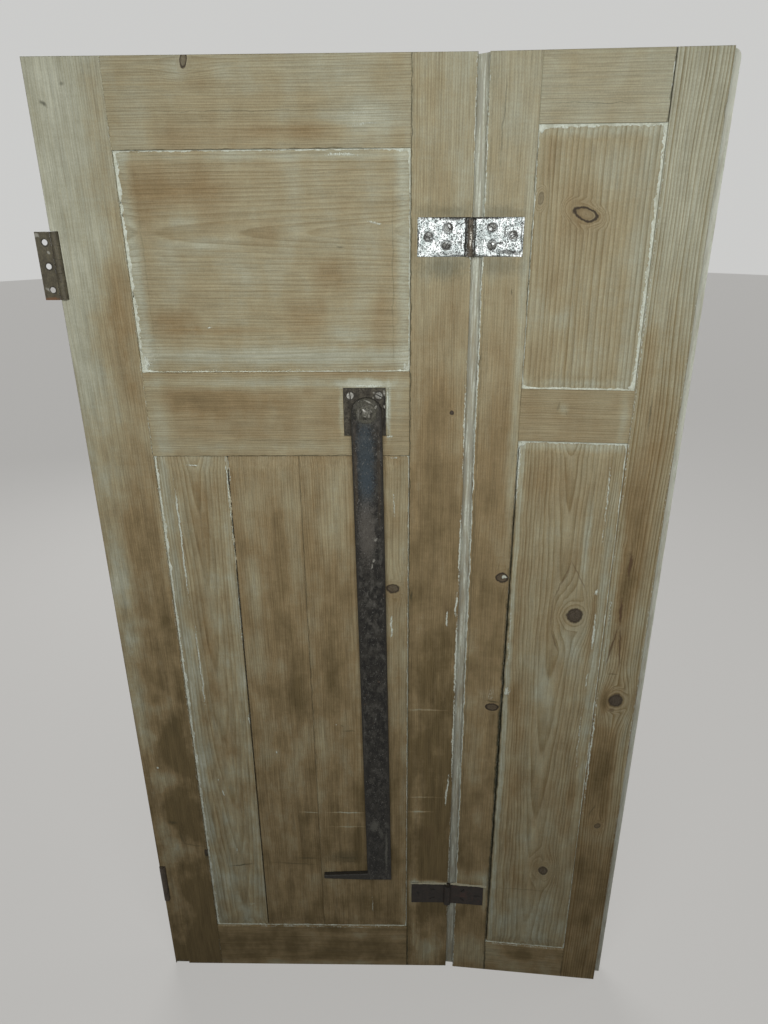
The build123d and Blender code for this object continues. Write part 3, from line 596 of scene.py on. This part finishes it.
closing_film = (0.62, 0.63, 0.54)
dress(pine(
    "flap_closing_stile_pine", "up", (680, 60), 2.9, (1.15, -0.1), 151, sway=3.5, contrast=1.05,
    mottle=0.8,
    knots=[
        (590.8, 494.6, 7.7, 9, 0, 0.95, 0.7, 3, 0.8),
        (588.9, 294.4, 3.6, 4.6, 0, 0.6, 0.5, 2.6, 0.7), (581.6, 690, 1, 1, 0, 0, 0, 11, 0.6)],
    resin=[
        (585.6, 676, 2.6, 17, 0, 0.95), (582.4, 616, 2, 20, -3, 1), (577.6, 572, 1.3, 30, 9.8, 0.8),
        (586.6, 569, 1.2, 34, -4.5, 0.8), (582.6, 532, 6, 1.3, 0, 0.5), (587, 480, 4, 3, 0, 0.5)],
    patches=[
        (588, 740, 32, 190, 0.75), (584, 640, 8, 90, 0.3), (577, 492, 7, 18, 0.9),
        (576, 905, 9, 40, 0.5), (596, 380, 12, 80, 0.4), (590, 118, 12, 22, 0.8),
        (606, 640, 10, 130, -0.35), (590, 200, 26, 90, 0.2), (571, 610, 5, 150, -0.7),
        (580, 390, 14, 60, 0.4), (606, 390, 9, 120, -0.6), (598, 120, 20, 60, -0.3)],
    grime_and_shade=[(585, 850, 1.2, 20, 0, 0.4), (580, 322, 1, 14, 20, 0.5)],
    paint=[
        (568.2, 900, 1.2, 300, 0, 0.5), (612.8, 560, 0.7, 600, 0, 0.5), (623, 500, 1.4, 700, 0, 1),
        (568.4, 420, 1.8, 110, 0, 0.8), (570.5, 600, 1, 60, 0, 0.5)],
    unscraped=(11, closing_film, 0.95), on_flap=True),
    "flap_closing_stile")

# The flap's three rails, with the grain across. The top one has drawn out of its right-hand
# shoulder and shows a dark open joint.

dress(pine(
    "flap_top_rail_pine", "across", (1010, 50), 2.4, (0.2, 0.2), 161, sway=2, contrast=0.4,
    mottle=0.6, grime_and_shade=[(566, 1140, 0.9, 60, 0, 0.7), (510, 1127, 60, 0.4, 1, 0.4)],
    paint=[(565.4, 1150, 0.9, 16, 0, 0.8)], on_flap=True),
    "flap_top_rail")
dress(pine(
    "flap_middle_rail_pine", "across", (700, 50), 2.2, (0.65, 0.65), 171, sway=2, contrast=0.45,
    mottle=0.6, patches=[(495, 845, 30, 10, 0.15), (560, 845, 6, 40, -0.4), (499, 851, 5, 6, -0.5)],
    grime_and_shade=[(494, 854, 1.2, 5, 10, 0.3), (502, 847, 1, 3, -20, 0.25)], on_flap=True),
    "flap_middle_rail")
dress(pine(
    "flap_bottom_rail_pine", "across", (-90, 40), 2.4, (1, 1), 181, sway=2, contrast=0.4,
    patches=[(470, 20, 20, 40, -0.4), (548, 18, 14, 30, -0.5), (510, 38, 26, 10, 0.6)],
    grime_and_shade=[(456, 25, 1.4, 40, 0, 0.9), (566.8, 25, 1.2, 40, 0, 0.7)],
    paint=[(510, 55.8, 80, 0.8, 0, 0.5)], on_flap=True),
    "flap_bottom_rail")

# The flap's two panels: narrow boards with their grain upright, raised like the wide leaf's.
# The lower one is cut near the heart, so its grain wanders round two knots.

dress(pine(
    "flap_upper_panel_pine", "up", (372, 60), 4.6, (0.35, 0.4), 191, sway=2.5, contrast=0.8,
    mottle=0.9,
    knots=[
        (503.3, 1036.5, 10.8, 5.6, 20, 0.12, 0.95, 2.2, 0.1),
        (461.7, 1050, 2.8, 5, 0, 0.35, 0.3, 2.2, 0.5)],
    patches=[
        (500, 1038, 22, 30, 0.45), (480, 990, 14, 50, 0.3), (488, 940, 14, 12, -0.3),
        (530, 1075, 20, 20, -0.25), (468, 1070, 8, 50, 0.3), (474, 900, 14, 30, 0.35),
        (556, 990, 10, 400, -0.3), (512, 1106, 80, 6, -0.4), (512, 877, 80, 5, -0.3)],
    grime_and_shade=[(472, 1090, 0.8, 20, 0, 0.2)],
    paint=[
        (512, 1110.4, 300, 2.4, 0, 0.8), (566, 990, 2.2, 420, 0, 0.75),
        (512, 871.6, 300, 1.6, 0, 0.8), (455.8, 1090, 1.6, 60, 0, 0.6)],
    on_flap=True),
    "flap_upper_panel")
dress(pine(
    "flap_lower_panel_pine", "up", (512, 22), 3, (0.65, 0.5), 201, lean=0.03, lean_from=620, sway=6,
    waver=2.2, contrast=0.75, mottle=0.8,
    knots=[
        (532.3, 608.4, 8.4, 9.2, 0, 0.95, 0.7, 3.2, 0.8),
        (526.4, 206.9, 6.2, 7.4, 0, 0.85, 0.6, 3.2, 0.8)],
    resin=[
        (514.5, 652, 1.1, 27, 17, 0.5), (532, 660, 1.1, 22, -28, 0.45),
        (512.5, 572, 1, 14, -17, 0.5), (506, 610, 0.9, 26, 2, 0.4)],
    patches=[
        (490, 770, 30, 24, 0.3), (468, 600, 9, 160, 0.3), (536, 700, 5, 50, -0.7),
        (532, 560, 24, 50, -0.3), (500, 500, 14, 60, -0.3), (470, 480, 10, 30, 0.5),
        (553, 600, 4, 60, 0.5), (480, 380, 10, 90, 0.3), (552, 350, 7, 50, 0.5),
        (512, 110, 60, 56, -0.6), (512, 811, 80, 6, -0.5), (500, 300, 14, 80, -0.2),
        (560, 560, 6, 220, -0.7), (461.5, 440, 3.6, 600, -0.7)],
    grime_and_shade=[(456.6, 400, 2.1, 480, 0, 0.95), (500, 168, 50, 0.8, 0, 0.3)],
    paint=[
        (512, 815.2, 300, 2.2, 0, 0.8), (457.4, 780, 2.4, 44, 0, 0.85), (553, 745, 1.2, 60, 0, 0.7),
        (555.6, 588, 1.5, 26, -1, 0.95), (554.4, 520, 1.2, 14, 0, 0.8), (553, 440, 1, 60, -1, 0.6),
        (553.4, 640, 3, 5, 0, 0.8), (461.6, 497, 4.2, 8, 0, 1), (460.2, 560, 1, 60, 0, 0.6),
        (512, 57, 300, 1.2, 0, 0.6)],
    on_flap=True),
    "flap_lower_panel")

# The caked paint: thick old paint that the stripper softened and pushed into the corners
# round the panels, into the open joint between two boards, and up against the lower backflap,
# where it has torn. It is chalky and pale green-grey, and has broken off in places.


def chalky(name, seed, on_flap=False, stained=0.0):
    """Softened and dried oil paint, dark with dirt in its hollows."""
    cake = ShutterFinish(name, on_flap)
    lumps = cake.cloud(seed, 2.4, 2.4, 3.4, 4.0, 0.65)
    crust = cake.cloud(seed + 5, 9.0, 9.0, 22.0, 3.0)
    colour = cake.mix(cake.span(lumps, 0.3, 0.68), *old_paint_colours)
    colour = cake.mix(cake.span(crust, 0.48, 0.7, 0.0, 0.7), colour, bloom_colour)
    colour = cake.mix(stained, colour, clean_colour)
    colour = cake.mix(cake.span(lumps, 0.36, 0.28, 0.0, 0.8), colour, grime_and_shade_colour)
    cake.surface(Base_Color=colour, Roughness=0.75, Specular_IOR_Level=0.25)
    cake.relief(lumps, strength=0.8, distance=0.0004)
    return cake.material


def caked_paint(
        name, body, edges, widths_by_side, seed, turned=None, edge_depth=3.0, rise=0.129,
        stained=0.0, lean=0.0):
    """Paint packed along the sides of a panel or a gap, against the frame. Each side has its
    width at its lower or left end, in its middle and at its other end."""
    left, right, foot, top = edges
    step, rows = 1.6, 5
    end_reach = 7.0
    swell_length, lump_length, crumb_length = 14.0, 3.0, 1.9
    lump_width = 1.5
    least_width, most_height = 0.25, 1.8
    most_proud = 2.5
    sunk_depth = 1.2
    bead = bmesh.new()
    for side, widths in widths_by_side.items():
        upright = side in ("left", "right")
        start = Vector((right if side == "right" else left, top if side == "top" else foot))
        run = Vector((lean, 1.0)) if upright else Vector((1.0, 0.0))
        inward = Vector((1.0, 0.0)) if upright else Vector((0.0, 1.0))
        if side in ("right", "top"):
            inward = -inward
        length = top - foot if upright else right - left
        count = int(length / step)
        strip = bmesh.ops.create_grid(bead, x_segments=count, y_segments=rows, size=0.5)["verts"]
        for vert in strip:
            along = (vert.co.x + 0.5) * length
            share = vert.co.y + 0.5
            first, middle, last = widths
            at_first = math.exp(-along / end_reach)
            at_last = math.exp((along - length) / end_reach)
            width = middle + (first - middle) * at_first + (last - middle) * at_last
            ragged = noise.fractal((along / swell_length, seed, 0.0), 0.6, 2.2, 4)
            ragged += 0.5 * noise.noise((along / crumb_length, seed, 5.0))
            width = max(width * (0.75 + 0.9 * ragged), least_width)
            out = width * share
            lump = 0.75 + 0.5 * noise.noise((along / lump_length, out / lump_width, seed))
            height = min(0.32 * width, most_height) * (1.0 - share) ** 1.4 * lump - 0.12 * share
            spot = start + run * along + inward * out
            depth = max(edge_depth - rise * out - height, edge_depth - most_proud)
            vert.co = Vector((spot.x, depth, spot.y)) / millimetres
        faces = list(dict.fromkeys(face for vert in strip for face in vert.link_faces))
        grown = bmesh.ops.extrude_face_region(bead, geom=faces)["geom"]
        sunk = [part for part in grown if isinstance(part, bmesh.types.BMVert)]
        bmesh.ops.translate(bead, verts=sunk, vec=(0.0, sunk_depth / millimetres, 0.0))
    bmesh.ops.translate(bead, verts=bead.verts[:], vec=corner / millimetres)
    if turned is not None:
        bmesh.ops.rotate(
            bead, verts=bead.verts[:], cent=fold_pin, matrix=Matrix.Rotation(turned, 3, "Z"))
    bmesh.ops.recalc_face_normals(bead, faces=bead.faces[:])
    for face in bead.faces:
        face.smooth = True
    finish = chalky(name + "_finish", seed, turned is not None, stained)
    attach(piece_of(bead, name, finish), body)


caked_paint(
    "main_upper_panel_paint", "main_leaf", (69.5, 342.0, 888.0, 1093.0),
    {"left": (8.0, 3.4, 5.0), "foot": (10.0, 0.9, 4.0), "top": (4.0, 1.7, 6.0),
     "right": (4.0, 1.4, 7.0)}, 3.1)
caked_paint(
    "main_lower_panel_paint", "main_leaf", (69.5, 342.0, 80.0, 798.0),
    {"left": (3.0, 2.6, 2.2), "foot": (3.0, 1.7, 3.0), "right": (3.0, 0.9, 2.0),
     "top": (1.0, 0.6, 3.5)}, 7.3)
caked_paint(
    "flap_upper_panel_paint", "flap", (455.4, 567.0, 871.0, 1111.0),
    {"left": (2.0, 1.3, 6.0), "top": (6.0, 3.0, 6.0), "right": (5.0, 3.2, 5.0),
     "foot": (2.5, 2.4, 5.0)}, 11.9, -ajar)
caked_paint(
    "flap_lower_panel_paint", "flap", (455.4, 567.0, 56.0, 816.0),
    {"left": (0.3, 0.3, 6.0), "top": (6.0, 2.8, 4.0), "right": (2.0, 1.2, 3.0),
     "foot": (2.0, 1.6, 2.5)}, 17.7, -ajar)
caked_paint(
    "open_joint_paint", "main_leaf", (145.4, 150.0, 650.0, 797.0),
    {"left": (1.0, 2.1, 1.6)}, 23.3, edge_depth=1.1, rise=0.0, stained=0.8, lean=0.0058)
caked_paint(
    "main_torn_paint", "main_leaf", (347.5, 397.2, 167.4, 180.0),
    {"foot": (2.0, 2.6, 7.0)}, 29.1, edge_depth=0.0, rise=0.0, stained=0.75)
caked_paint(
    "flap_torn_paint", "flap", (402.5, 452.0, 167.4, 180.0),
    {"foot": (3.4, 3.0, 5.0)}, 31.7, -ajar, edge_depth=0.0, rise=0.0, stained=0.75)

# The butt hinges: cast iron leaves let into the hanging stile's edge. They were stripped with
# the wood and have gone an olive brown, with rust along the foot.

iron_dirt_and_shade_colour = (0.016, 0.014, 0.01)
scuff_colour = (0.105, 0.099, 0.084)
fleck_colour = (0.2, 0.195, 0.175)
chip_colour = (0.36, 0.35, 0.3)


def iron(
        name, fresh, dull, rust, seed, rusty=0.2, pitted=0.2, polish=0.5, shine=0.4, pit_size=1.0,
        bump=0.0003, marks=(), rings=(), middle=None, recess=None, flecks=0.0, scuffed=0.0,
        on_flap=False):
    """Old iron: two tones in blotches, rust, pits and pale flecks over a share of it, dirt and
    painted shade along the edges of a bar whose middle line is given, and painted shade in
    anything sunk below a depth. A mark is given as on pine and ends with its colour; a ring of
    painted shade is its middle and its radius. Shine is how far it looks like bare metal, and
    polish lies in the middle of its roughness."""
    metal = ShutterFinish(name, on_flap)
    x, y, z = metal.add("SeparateXYZ", metal.place).outputs
    blotch = metal.cloud(seed, 7.0, 7.0, 11.0, 5.0, 0.66)
    fine = metal.cloud(seed + 3, 1.5, 1.5, 2.3, 4.0, 0.7)
    pits = metal.cloud(seed + 5, pit_size, pit_size, pit_size, 3.0, 0.7)
    rust_cloud = metal.cloud(seed + 9, 4.0, 4.0, 6.0, 5.0, 0.68)
    ragged = metal.swing(fine, 1.0)
    colour = metal.mix(metal.span(blotch, 0.38, 0.62), fresh, dull)
    worn = metal.span(fine, 0.3, 0.7, 0.68, 1.32)
    colour = metal.mix(
        1.0, colour, metal.add("CombineColor", worn, worn, worn).outputs[0], "MULTIPLY")
    scuffs = metal.cloud(seed + 17, 5.5, 5.5, 9.0, 4.0, 0.62)
    colour = metal.mix(metal.span(scuffs, 0.48, 0.68, 0.0, scuffed), colour, scuff_colour)
    rusted = metal.span(rust_cloud, 0.74 - rusty * 0.5, 0.86 - rusty * 0.5)
    colour = metal.mix(rusted, colour, rust)
    for *oval, strength, mark_colour in marks:
        far = metal.times_plus(ragged, 0.9, metal.oval(*oval))
        colour = metal.mix(metal.span(far, 1.25, 0.45, 0.0, strength), colour, mark_colour)
    if flecks:
        pale = metal.cloud(seed + 13, 1.3, 1.3, 2.2, 3.0, 0.7)
        pale = metal.span(pale, 0.74 - flecks, 0.84 - flecks)
        pale = metal.times(pale, metal.span(rust_cloud, 0.4, 0.6))
        colour = metal.mix(pale, colour, fleck_colour)
    dirt_and_shade = metal.span(pits, 0.7 - pitted * 0.4, 0.76 - pitted * 0.4, 0.0, 0.9)
    # Dark rings of painted shade round the screws.
    for ring_x, ring_z, radius in rings:
        from_ring = metal.less(metal.oval(ring_x, ring_z, 1.0, 1.0), radius)
        from_ring = metal.times_plus(ragged, 0.9, metal.reckon("ABSOLUTE", from_ring))
        dirt_and_shade = metal.most(dirt_and_shade, metal.span(from_ring, 1.25, 0.15, 0.0, 0.7))
    # Dirt and painted shade darken the bar's edges.
    if middle is not None:
        middle_x, middle_z, slope, half_width = middle
        out = metal.times_plus(metal.less(z, middle_z), slope, x)
        out = metal.reckon("ABSOLUTE", metal.less(out, middle_x))
        out = metal.times_plus(ragged, 1.5, out)
        dirt_and_shade = metal.most(dirt_and_shade, metal.span(out, half_width - 3.4, half_width - 0.4, 0.0, 0.85))
    # Painted shade in anything sunk below the given depth.
    if recess is not None:
        dirt_and_shade = metal.most(dirt_and_shade, metal.span(y, recess, recess + 0.35, 0.0, 0.95))
    colour = metal.mix(dirt_and_shade, colour, iron_dirt_and_shade_colour)
    sound = metal.less(1.0, metal.most(rusted, dirt_and_shade))
    metal.surface(
        Base_Color=colour, Metallic=metal.times(sound, shine),
        Roughness=metal.span(fine, 0.3, 0.7, polish - 0.1, polish + 0.16),
        Specular_IOR_Level=0.35)
    height = metal.less(metal.times_plus(fine, 0.5, blotch), dirt_and_shade)
    metal.relief(height, strength=0.9, distance=bump)
    return metal.material


dress(iron(
    "olive_iron", (0.105, 0.093, 0.06), (0.07, 0.06, 0.039), (0.16, 0.08, 0.035), 301, rusty=0.15,
    pitted=0.15, polish=0.6, shine=0.12,
    # The rings are painted shade in the screws' countersinks.
    rings=[(-5.75, 1014.6, 3.4), (-5.75, 992.6, 3.4), (-5.75, 970.6, 3.4)],
    marks=[
        (-12, 1021, 3, 2, 0, 0.7, chip_colour), (-3, 1005, 1.4, 1.6, 0, 0.9, chip_colour),
        (-9, 962, 9, 1.8, 0, 0.8, (0.17, 0.08, 0.035)), (-10, 971, 3, 1.6, 30, 0.7, chip_colour)]),
    "upper_butt_fixed_leaf", "upper_butt_loose_leaf")
dress(iron(
    "umber_iron", (0.085, 0.066, 0.045), (0.045, 0.036, 0.026), (0.12, 0.055, 0.028), 303,
    rusty=0.25, polish=0.6, shine=0.2),
    "lower_butt_fixed_leaf", "lower_butt_loose_leaf")
dress(iron(
    "pin_steel", (0.16, 0.14, 0.11), (0.07, 0.055, 0.04), (0.12, 0.05, 0.02), 311, polish=0.4,
    shine=0.8),
    "upper_butt_pin", "lower_butt_pin", "upper_backflap_pin", "lower_backflap_pin")
dress(iron(
    "dark_screw_steel", (0.05, 0.041, 0.03), (0.028, 0.023, 0.017), (0.08, 0.045, 0.028), 321,
    rusty=0.3, pitted=0.35, polish=0.5, shine=0.4, pit_size=0.8),
    "upper_butt_screws", "lower_butt_screws")

# The backflap hinges: pressed plates let flush into both faces, with the knuckle in the joint.
# The upper pair keeps its bright zinc under black pits; the lower pair has gone brown.

knuckle_x = 398.3
seam_colour = (0.02, 0.017, 0.012)
knuckle_marks_and_highlight = [
    (knuckle_x, 1016.5, 5, 60, 0, 1, (0.085, 0.07, 0.05)),
    (knuckle_x - 4.6, 1016.5, 0.9, 60, 0, 1, seam_colour),
    (knuckle_x + 4.9, 1016.5, 0.9, 60, 0, 0.9, seam_colour),
    # A painted highlight down the knuckle.
    (knuckle_x + 0.6, 1014, 1.2, 7, 0, 0.9, (0.55, 0.53, 0.46))]
# A near black for dirt, and for painted shade along the plates' edges.
tarnish_and_shade = (0.035, 0.034, 0.028)
plate_edge_dirt_and_shade = [
    (398, 1034, 56, 1.9, 0, 1, tarnish_and_shade), (398, 999, 56, 1, 0, 0.9, tarnish_and_shade),
    (380, 1032, 12, 1.6, 0, 0.7, tarnish_and_shade), (349, 1012, 0.9, 12, 0, 0.9, tarnish_and_shade)]
zinc = ((0.84, 0.875, 0.86), (0.4, 0.45, 0.44), (0.12, 0.125, 0.11))
zinc_glint_colour = zinc[0]
plate_wear = {"rusty": 0.12, "pitted": 0.42, "polish": 0.45, "shine": 0.55, "pit_size": 1.15}
worn_zinc = ((0.24, 0.25, 0.235), (0.085, 0.085, 0.075), (0.06, 0.052, 0.04))
# The screws' recess setting paints shade into their slots.
screw_wear = {
    "rusty": 0.15, "pitted": 0.4, "polish": 0.4, "shine": 0.75, "pit_size": 0.8, "recess": 0.0}
# Painted shade in rings round the screw heads, on the plates and on the screws.
main_screw_shade_rings = [(359.3, 1016.5, 4.3), (377, 1024.3, 4.3), (375.5, 1009.3, 4.3)]
flap_screw_shade_rings = [(419, 1024.5, 4.3), (438, 1017.5, 4.3), (419, 1009.3, 4.3)]
main_plate_marks = [
    (361, 1021, 5, 3, 30, 0.6, (0.12, 0.14, 0.125)), (355, 1010, 6, 9, 0, 0.4, (0.26, 0.31, 0.29)),
    (374, 1001, 16, 3, 0, 0.5, (0.16, 0.18, 0.17)), (390, 1012, 1, 6, 0, 0.7, tarnish_and_shade)]
flap_plate_marks = [
    (408, 1012, 3.4, 14, 0, 0.6, (0.14, 0.165, 0.155)),
    (412, 1024, 8, 8, 0, 0.45, (0.22, 0.26, 0.25)), (428, 1018, 9, 8, 0, 0.3, (0.3, 0.34, 0.33)),
    (436, 1003, 13, 2.6, 0, 0.85, tarnish_and_shade), (431, 1021, 1, 5, 0, 0.8, tarnish_and_shade),
    (427, 1011, 2.4, 1.4, 0, 0.9, tarnish_and_shade), (446.6, 1016, 0.9, 16, 0, 0.8, tarnish_and_shade)]
# Painted glints of light on the screw heads.
main_screw_painted_glints = [
    (378, 1026.6, 1.8, 1, 20, 0.9, zinc_glint_colour), (376.4, 1011, 1.2, 0.9, 0, 0.8, zinc_glint_colour)]
flap_screw_painted_glints = [
    (417.6, 1023.4, 1.6, 1.6, 0, 0.9, zinc_glint_colour),
    (437.4, 1018.6, 1.4, 1.6, 0, 0.9, zinc_glint_colour), (419.6, 1010.6, 1.4, 1, 0, 0.8, zinc_glint_colour)]
for side, ending, plate_seed, screw_seed, screw_shade_rings, plate_marks, screw_painted_glints in (
        ("main", "", 331, 345, main_screw_shade_rings, main_plate_marks, main_screw_painted_glints),
        ("flap", "_flap", 341, 347, flap_screw_shade_rings, flap_plate_marks, flap_screw_painted_glints)):
    dress(iron(
        "zinced_iron" + ending, *zinc, plate_seed, **plate_wear, rings=screw_shade_rings,
        marks=knuckle_marks_and_highlight + plate_edge_dirt_and_shade + plate_marks, on_flap=(side == "flap")),
        "upper_backflap_" + side + "_plate")
    dress(iron(
        "zinced_screw" + ending, *worn_zinc, screw_seed, **screw_wear, rings=screw_shade_rings,
        marks=screw_painted_glints, on_flap=(side == "flap")),
        "upper_backflap_" + side + "_screws")
dress(iron(
    "brown_iron", (0.028, 0.0215, 0.016), (0.016, 0.0128, 0.01), (0.05, 0.025, 0.016), 351,
    rusty=0.2, polish=0.62, shine=0.12),
    "lower_backflap_main_plate")
dress(iron(
    "brown_iron_flap", (0.028, 0.021, 0.016), (0.016, 0.0128, 0.01), (0.05, 0.023, 0.016), 361,
    rusty=0.35, polish=0.62, shine=0.12, marks=[(421, 150, 6, 12, 0, 0.5, (0.06, 0.03, 0.023))],
    on_flap=True),
    "lower_backflap_flap_plate")
dress(iron(
    "blackened_screws", (0.024, 0.019, 0.0145), (0.014, 0.0115, 0.009), (0.045, 0.024, 0.016), 365,
    rusty=0.3, pitted=0.35, polish=0.6, shine=0.15, pit_size=0.8),
    "lower_backflap_main_screws", "lower_backflap_flap_screws")

# The locking bar: a strip of wrought iron hung on one rivet through its back plate, with a
# tongue forged out at its foot. It is blue-black near the top and browner lower down. Two
# bright screws hold the plate to the middle rail.

# The bar's middle line; dirt and painted shade darken the iron along its edges.
bar_middle = (297.5, 846.0, 0.01047, 16.25)
dress(iron(
    "bar_iron", (0.032, 0.0292, 0.0236), (0.0075, 0.0068, 0.0052), (0.08, 0.052, 0.034), 371,
    rusty=0.22, pitted=0.3, polish=0.58, shine=0.15, bump=0.0007, flecks=0.16, scuffed=0.62,
    middle=bar_middle,
    marks=[
        (296, 790, 10, 58, 0, 0.75, (0.044, 0.06, 0.07)),
        (299, 345, 20, 210, 0, 0.22, (0.008, 0.0075, 0.006)),
        (284.8, 775, 2.2, 60, 0, 0.4, (0.085, 0.062, 0.036)),
        (310.3, 775, 2.2, 60, 0, 0.35, (0.08, 0.06, 0.038)),
        (297.5, 850, 13, 16, 0, 0.7, (0.085, 0.08, 0.055)),
        (299, 858.6, 4, 0.9, 25, 0.9, chip_colour), (307.5, 853, 1, 2.4, 20, 0.8, chip_colour),
        (296, 712, 10, 44, 0, 0.65, (0.125, 0.113, 0.095)),
        (305, 702, 1.6, 2.4, 50, 0.7, chip_colour), (302.6, 676, 1.2, 2.6, 30, 0.7, chip_colour),
        (300.4, 669, 0.9, 3.4, 10, 0.7, chip_colour),
        (297, 770, 8, 18, 0, 0.35, (0.05, 0.07, 0.085)),
        (304, 226, 20, 44, 0, 0.4, (0.0075, 0.007, 0.0056)),
        (299, 281, 6, 10, 25, 0.55, (0.16, 0.155, 0.13)),
        (307, 268, 2.6, 12, -12, 0.5, (0.13, 0.125, 0.105)),
        (314, 235, 1.6, 36, 0, 0.6, (0.15, 0.145, 0.12)),
        (288, 420, 1, 60, 0, 0.5, (0.09, 0.085, 0.07))]),
    "locking_bar")
dress(iron(
    "back_plate_iron", (0.086, 0.077, 0.056), (0.038, 0.033, 0.024), (0.1, 0.055, 0.03), 381,
    # The rings are painted shade round the two screws.
    rusty=0.2, pitted=0.35, polish=0.55, shine=0.25, rings=[(281, 863.5, 4.4), (310.5, 863.5, 4.4)],
    marks=[
        # The first mark is a painted shadow of the bar, down the plate beside its right edge.
        (316.5, 846, 1.8, 28, 0, 0.95, (0.015, 0.013, 0.01)),
        (315.6, 866.4, 1, 3, 0, 0.95, chip_colour), (306, 866.2, 1.4, 0.9, 30, 0.9, chip_colour),
        (305.4, 861.6, 0.9, 1.6, 0, 0.8, chip_colour), (316.4, 852, 0.8, 2, 0, 0.9, chip_colour)]),
    "bar_back_plate")
# The bright screws' slots are darkened with painted shade.
dress(iron(
    "bright_screw_steel", (0.42, 0.42, 0.38), (0.2, 0.19, 0.165), (0.1, 0.07, 0.05), 391,
    rusty=0.12, pitted=0.3, polish=0.4, shine=0.7, pit_size=0.8, recess=0.35,
    marks=[(310.5, 863.5, 5, 5, 0, 0.6, (0.13, 0.125, 0.11))]),
    "bar_plate_screws")
dress(iron(
    "rivet_iron", (0.125, 0.12, 0.095), (0.065, 0.062, 0.048), (0.09, 0.06, 0.036), 401, rusty=0.15,
    pitted=0.35, polish=0.5, shine=0.3, pit_size=1.6, bump=0.0008, flecks=0.2,
    marks=[
        (295.4, 850, 2.6, 0.9, 25, 0.9, (0.5, 0.49, 0.44)),
        (300.8, 844.4, 0.9, 2.2, 0, 0.8, chip_colour),
        (296.2, 843.6, 1.6, 0.8, 0, 0.7, chip_colour)]),
    "bar_pivot_rivet")

# The rivet's washer: a thin iron disc between the bar and the rivet's hammered head, which
# pinches it to the bar. Its front edge is rounded with wear.

washer_centre = Vector((297.5, -6.5, 846.0))
washer_radius = 10.4
washer_thickness = 0.9
washer_rounding = 0.45
washer_bedding = 0.1
washer_shape = bmesh.new()
bmesh.ops.create_cone(
    washer_shape, cap_ends=True, segments=56, radius1=washer_radius, radius2=washer_radius,
    depth=washer_thickness)
rim = [edge for edge in washer_shape.edges if edge.verts[0].co.z > 0 and edge.verts[1].co.z > 0]
bmesh.ops.bevel(
    washer_shape, geom=rim, affect="EDGES", offset=washer_rounding, offset_type="OFFSET",
    segments=2, profile=0.5, material=-1)
bmesh.ops.rotate(
    washer_shape, verts=washer_shape.verts[:], matrix=Matrix.Rotation(math.pi / 2, 3, "X"))
bmesh.ops.translate(
    washer_shape, verts=washer_shape.verts[:],
    vec=washer_centre + corner - Vector((0.0, washer_thickness / 2 - washer_bedding, 0.0)))
bmesh.ops.scale(washer_shape, verts=washer_shape.verts[:], vec=[1 / millimetres] * 3)
washer_finish = iron(
    "washer_iron", (0.1, 0.095, 0.072), (0.055, 0.052, 0.039), (0.09, 0.058, 0.035), 411,
    rusty=0.12, pitted=0.3, polish=0.48, shine=0.25, bump=0.0006, flecks=0.16,
    marks=[(289.5, 846, 1.2, 5, 0, 0.6, (0.19, 0.185, 0.155))])
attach(piece_of(washer_shape, "bar_rivet_washer", washer_finish), "bar")
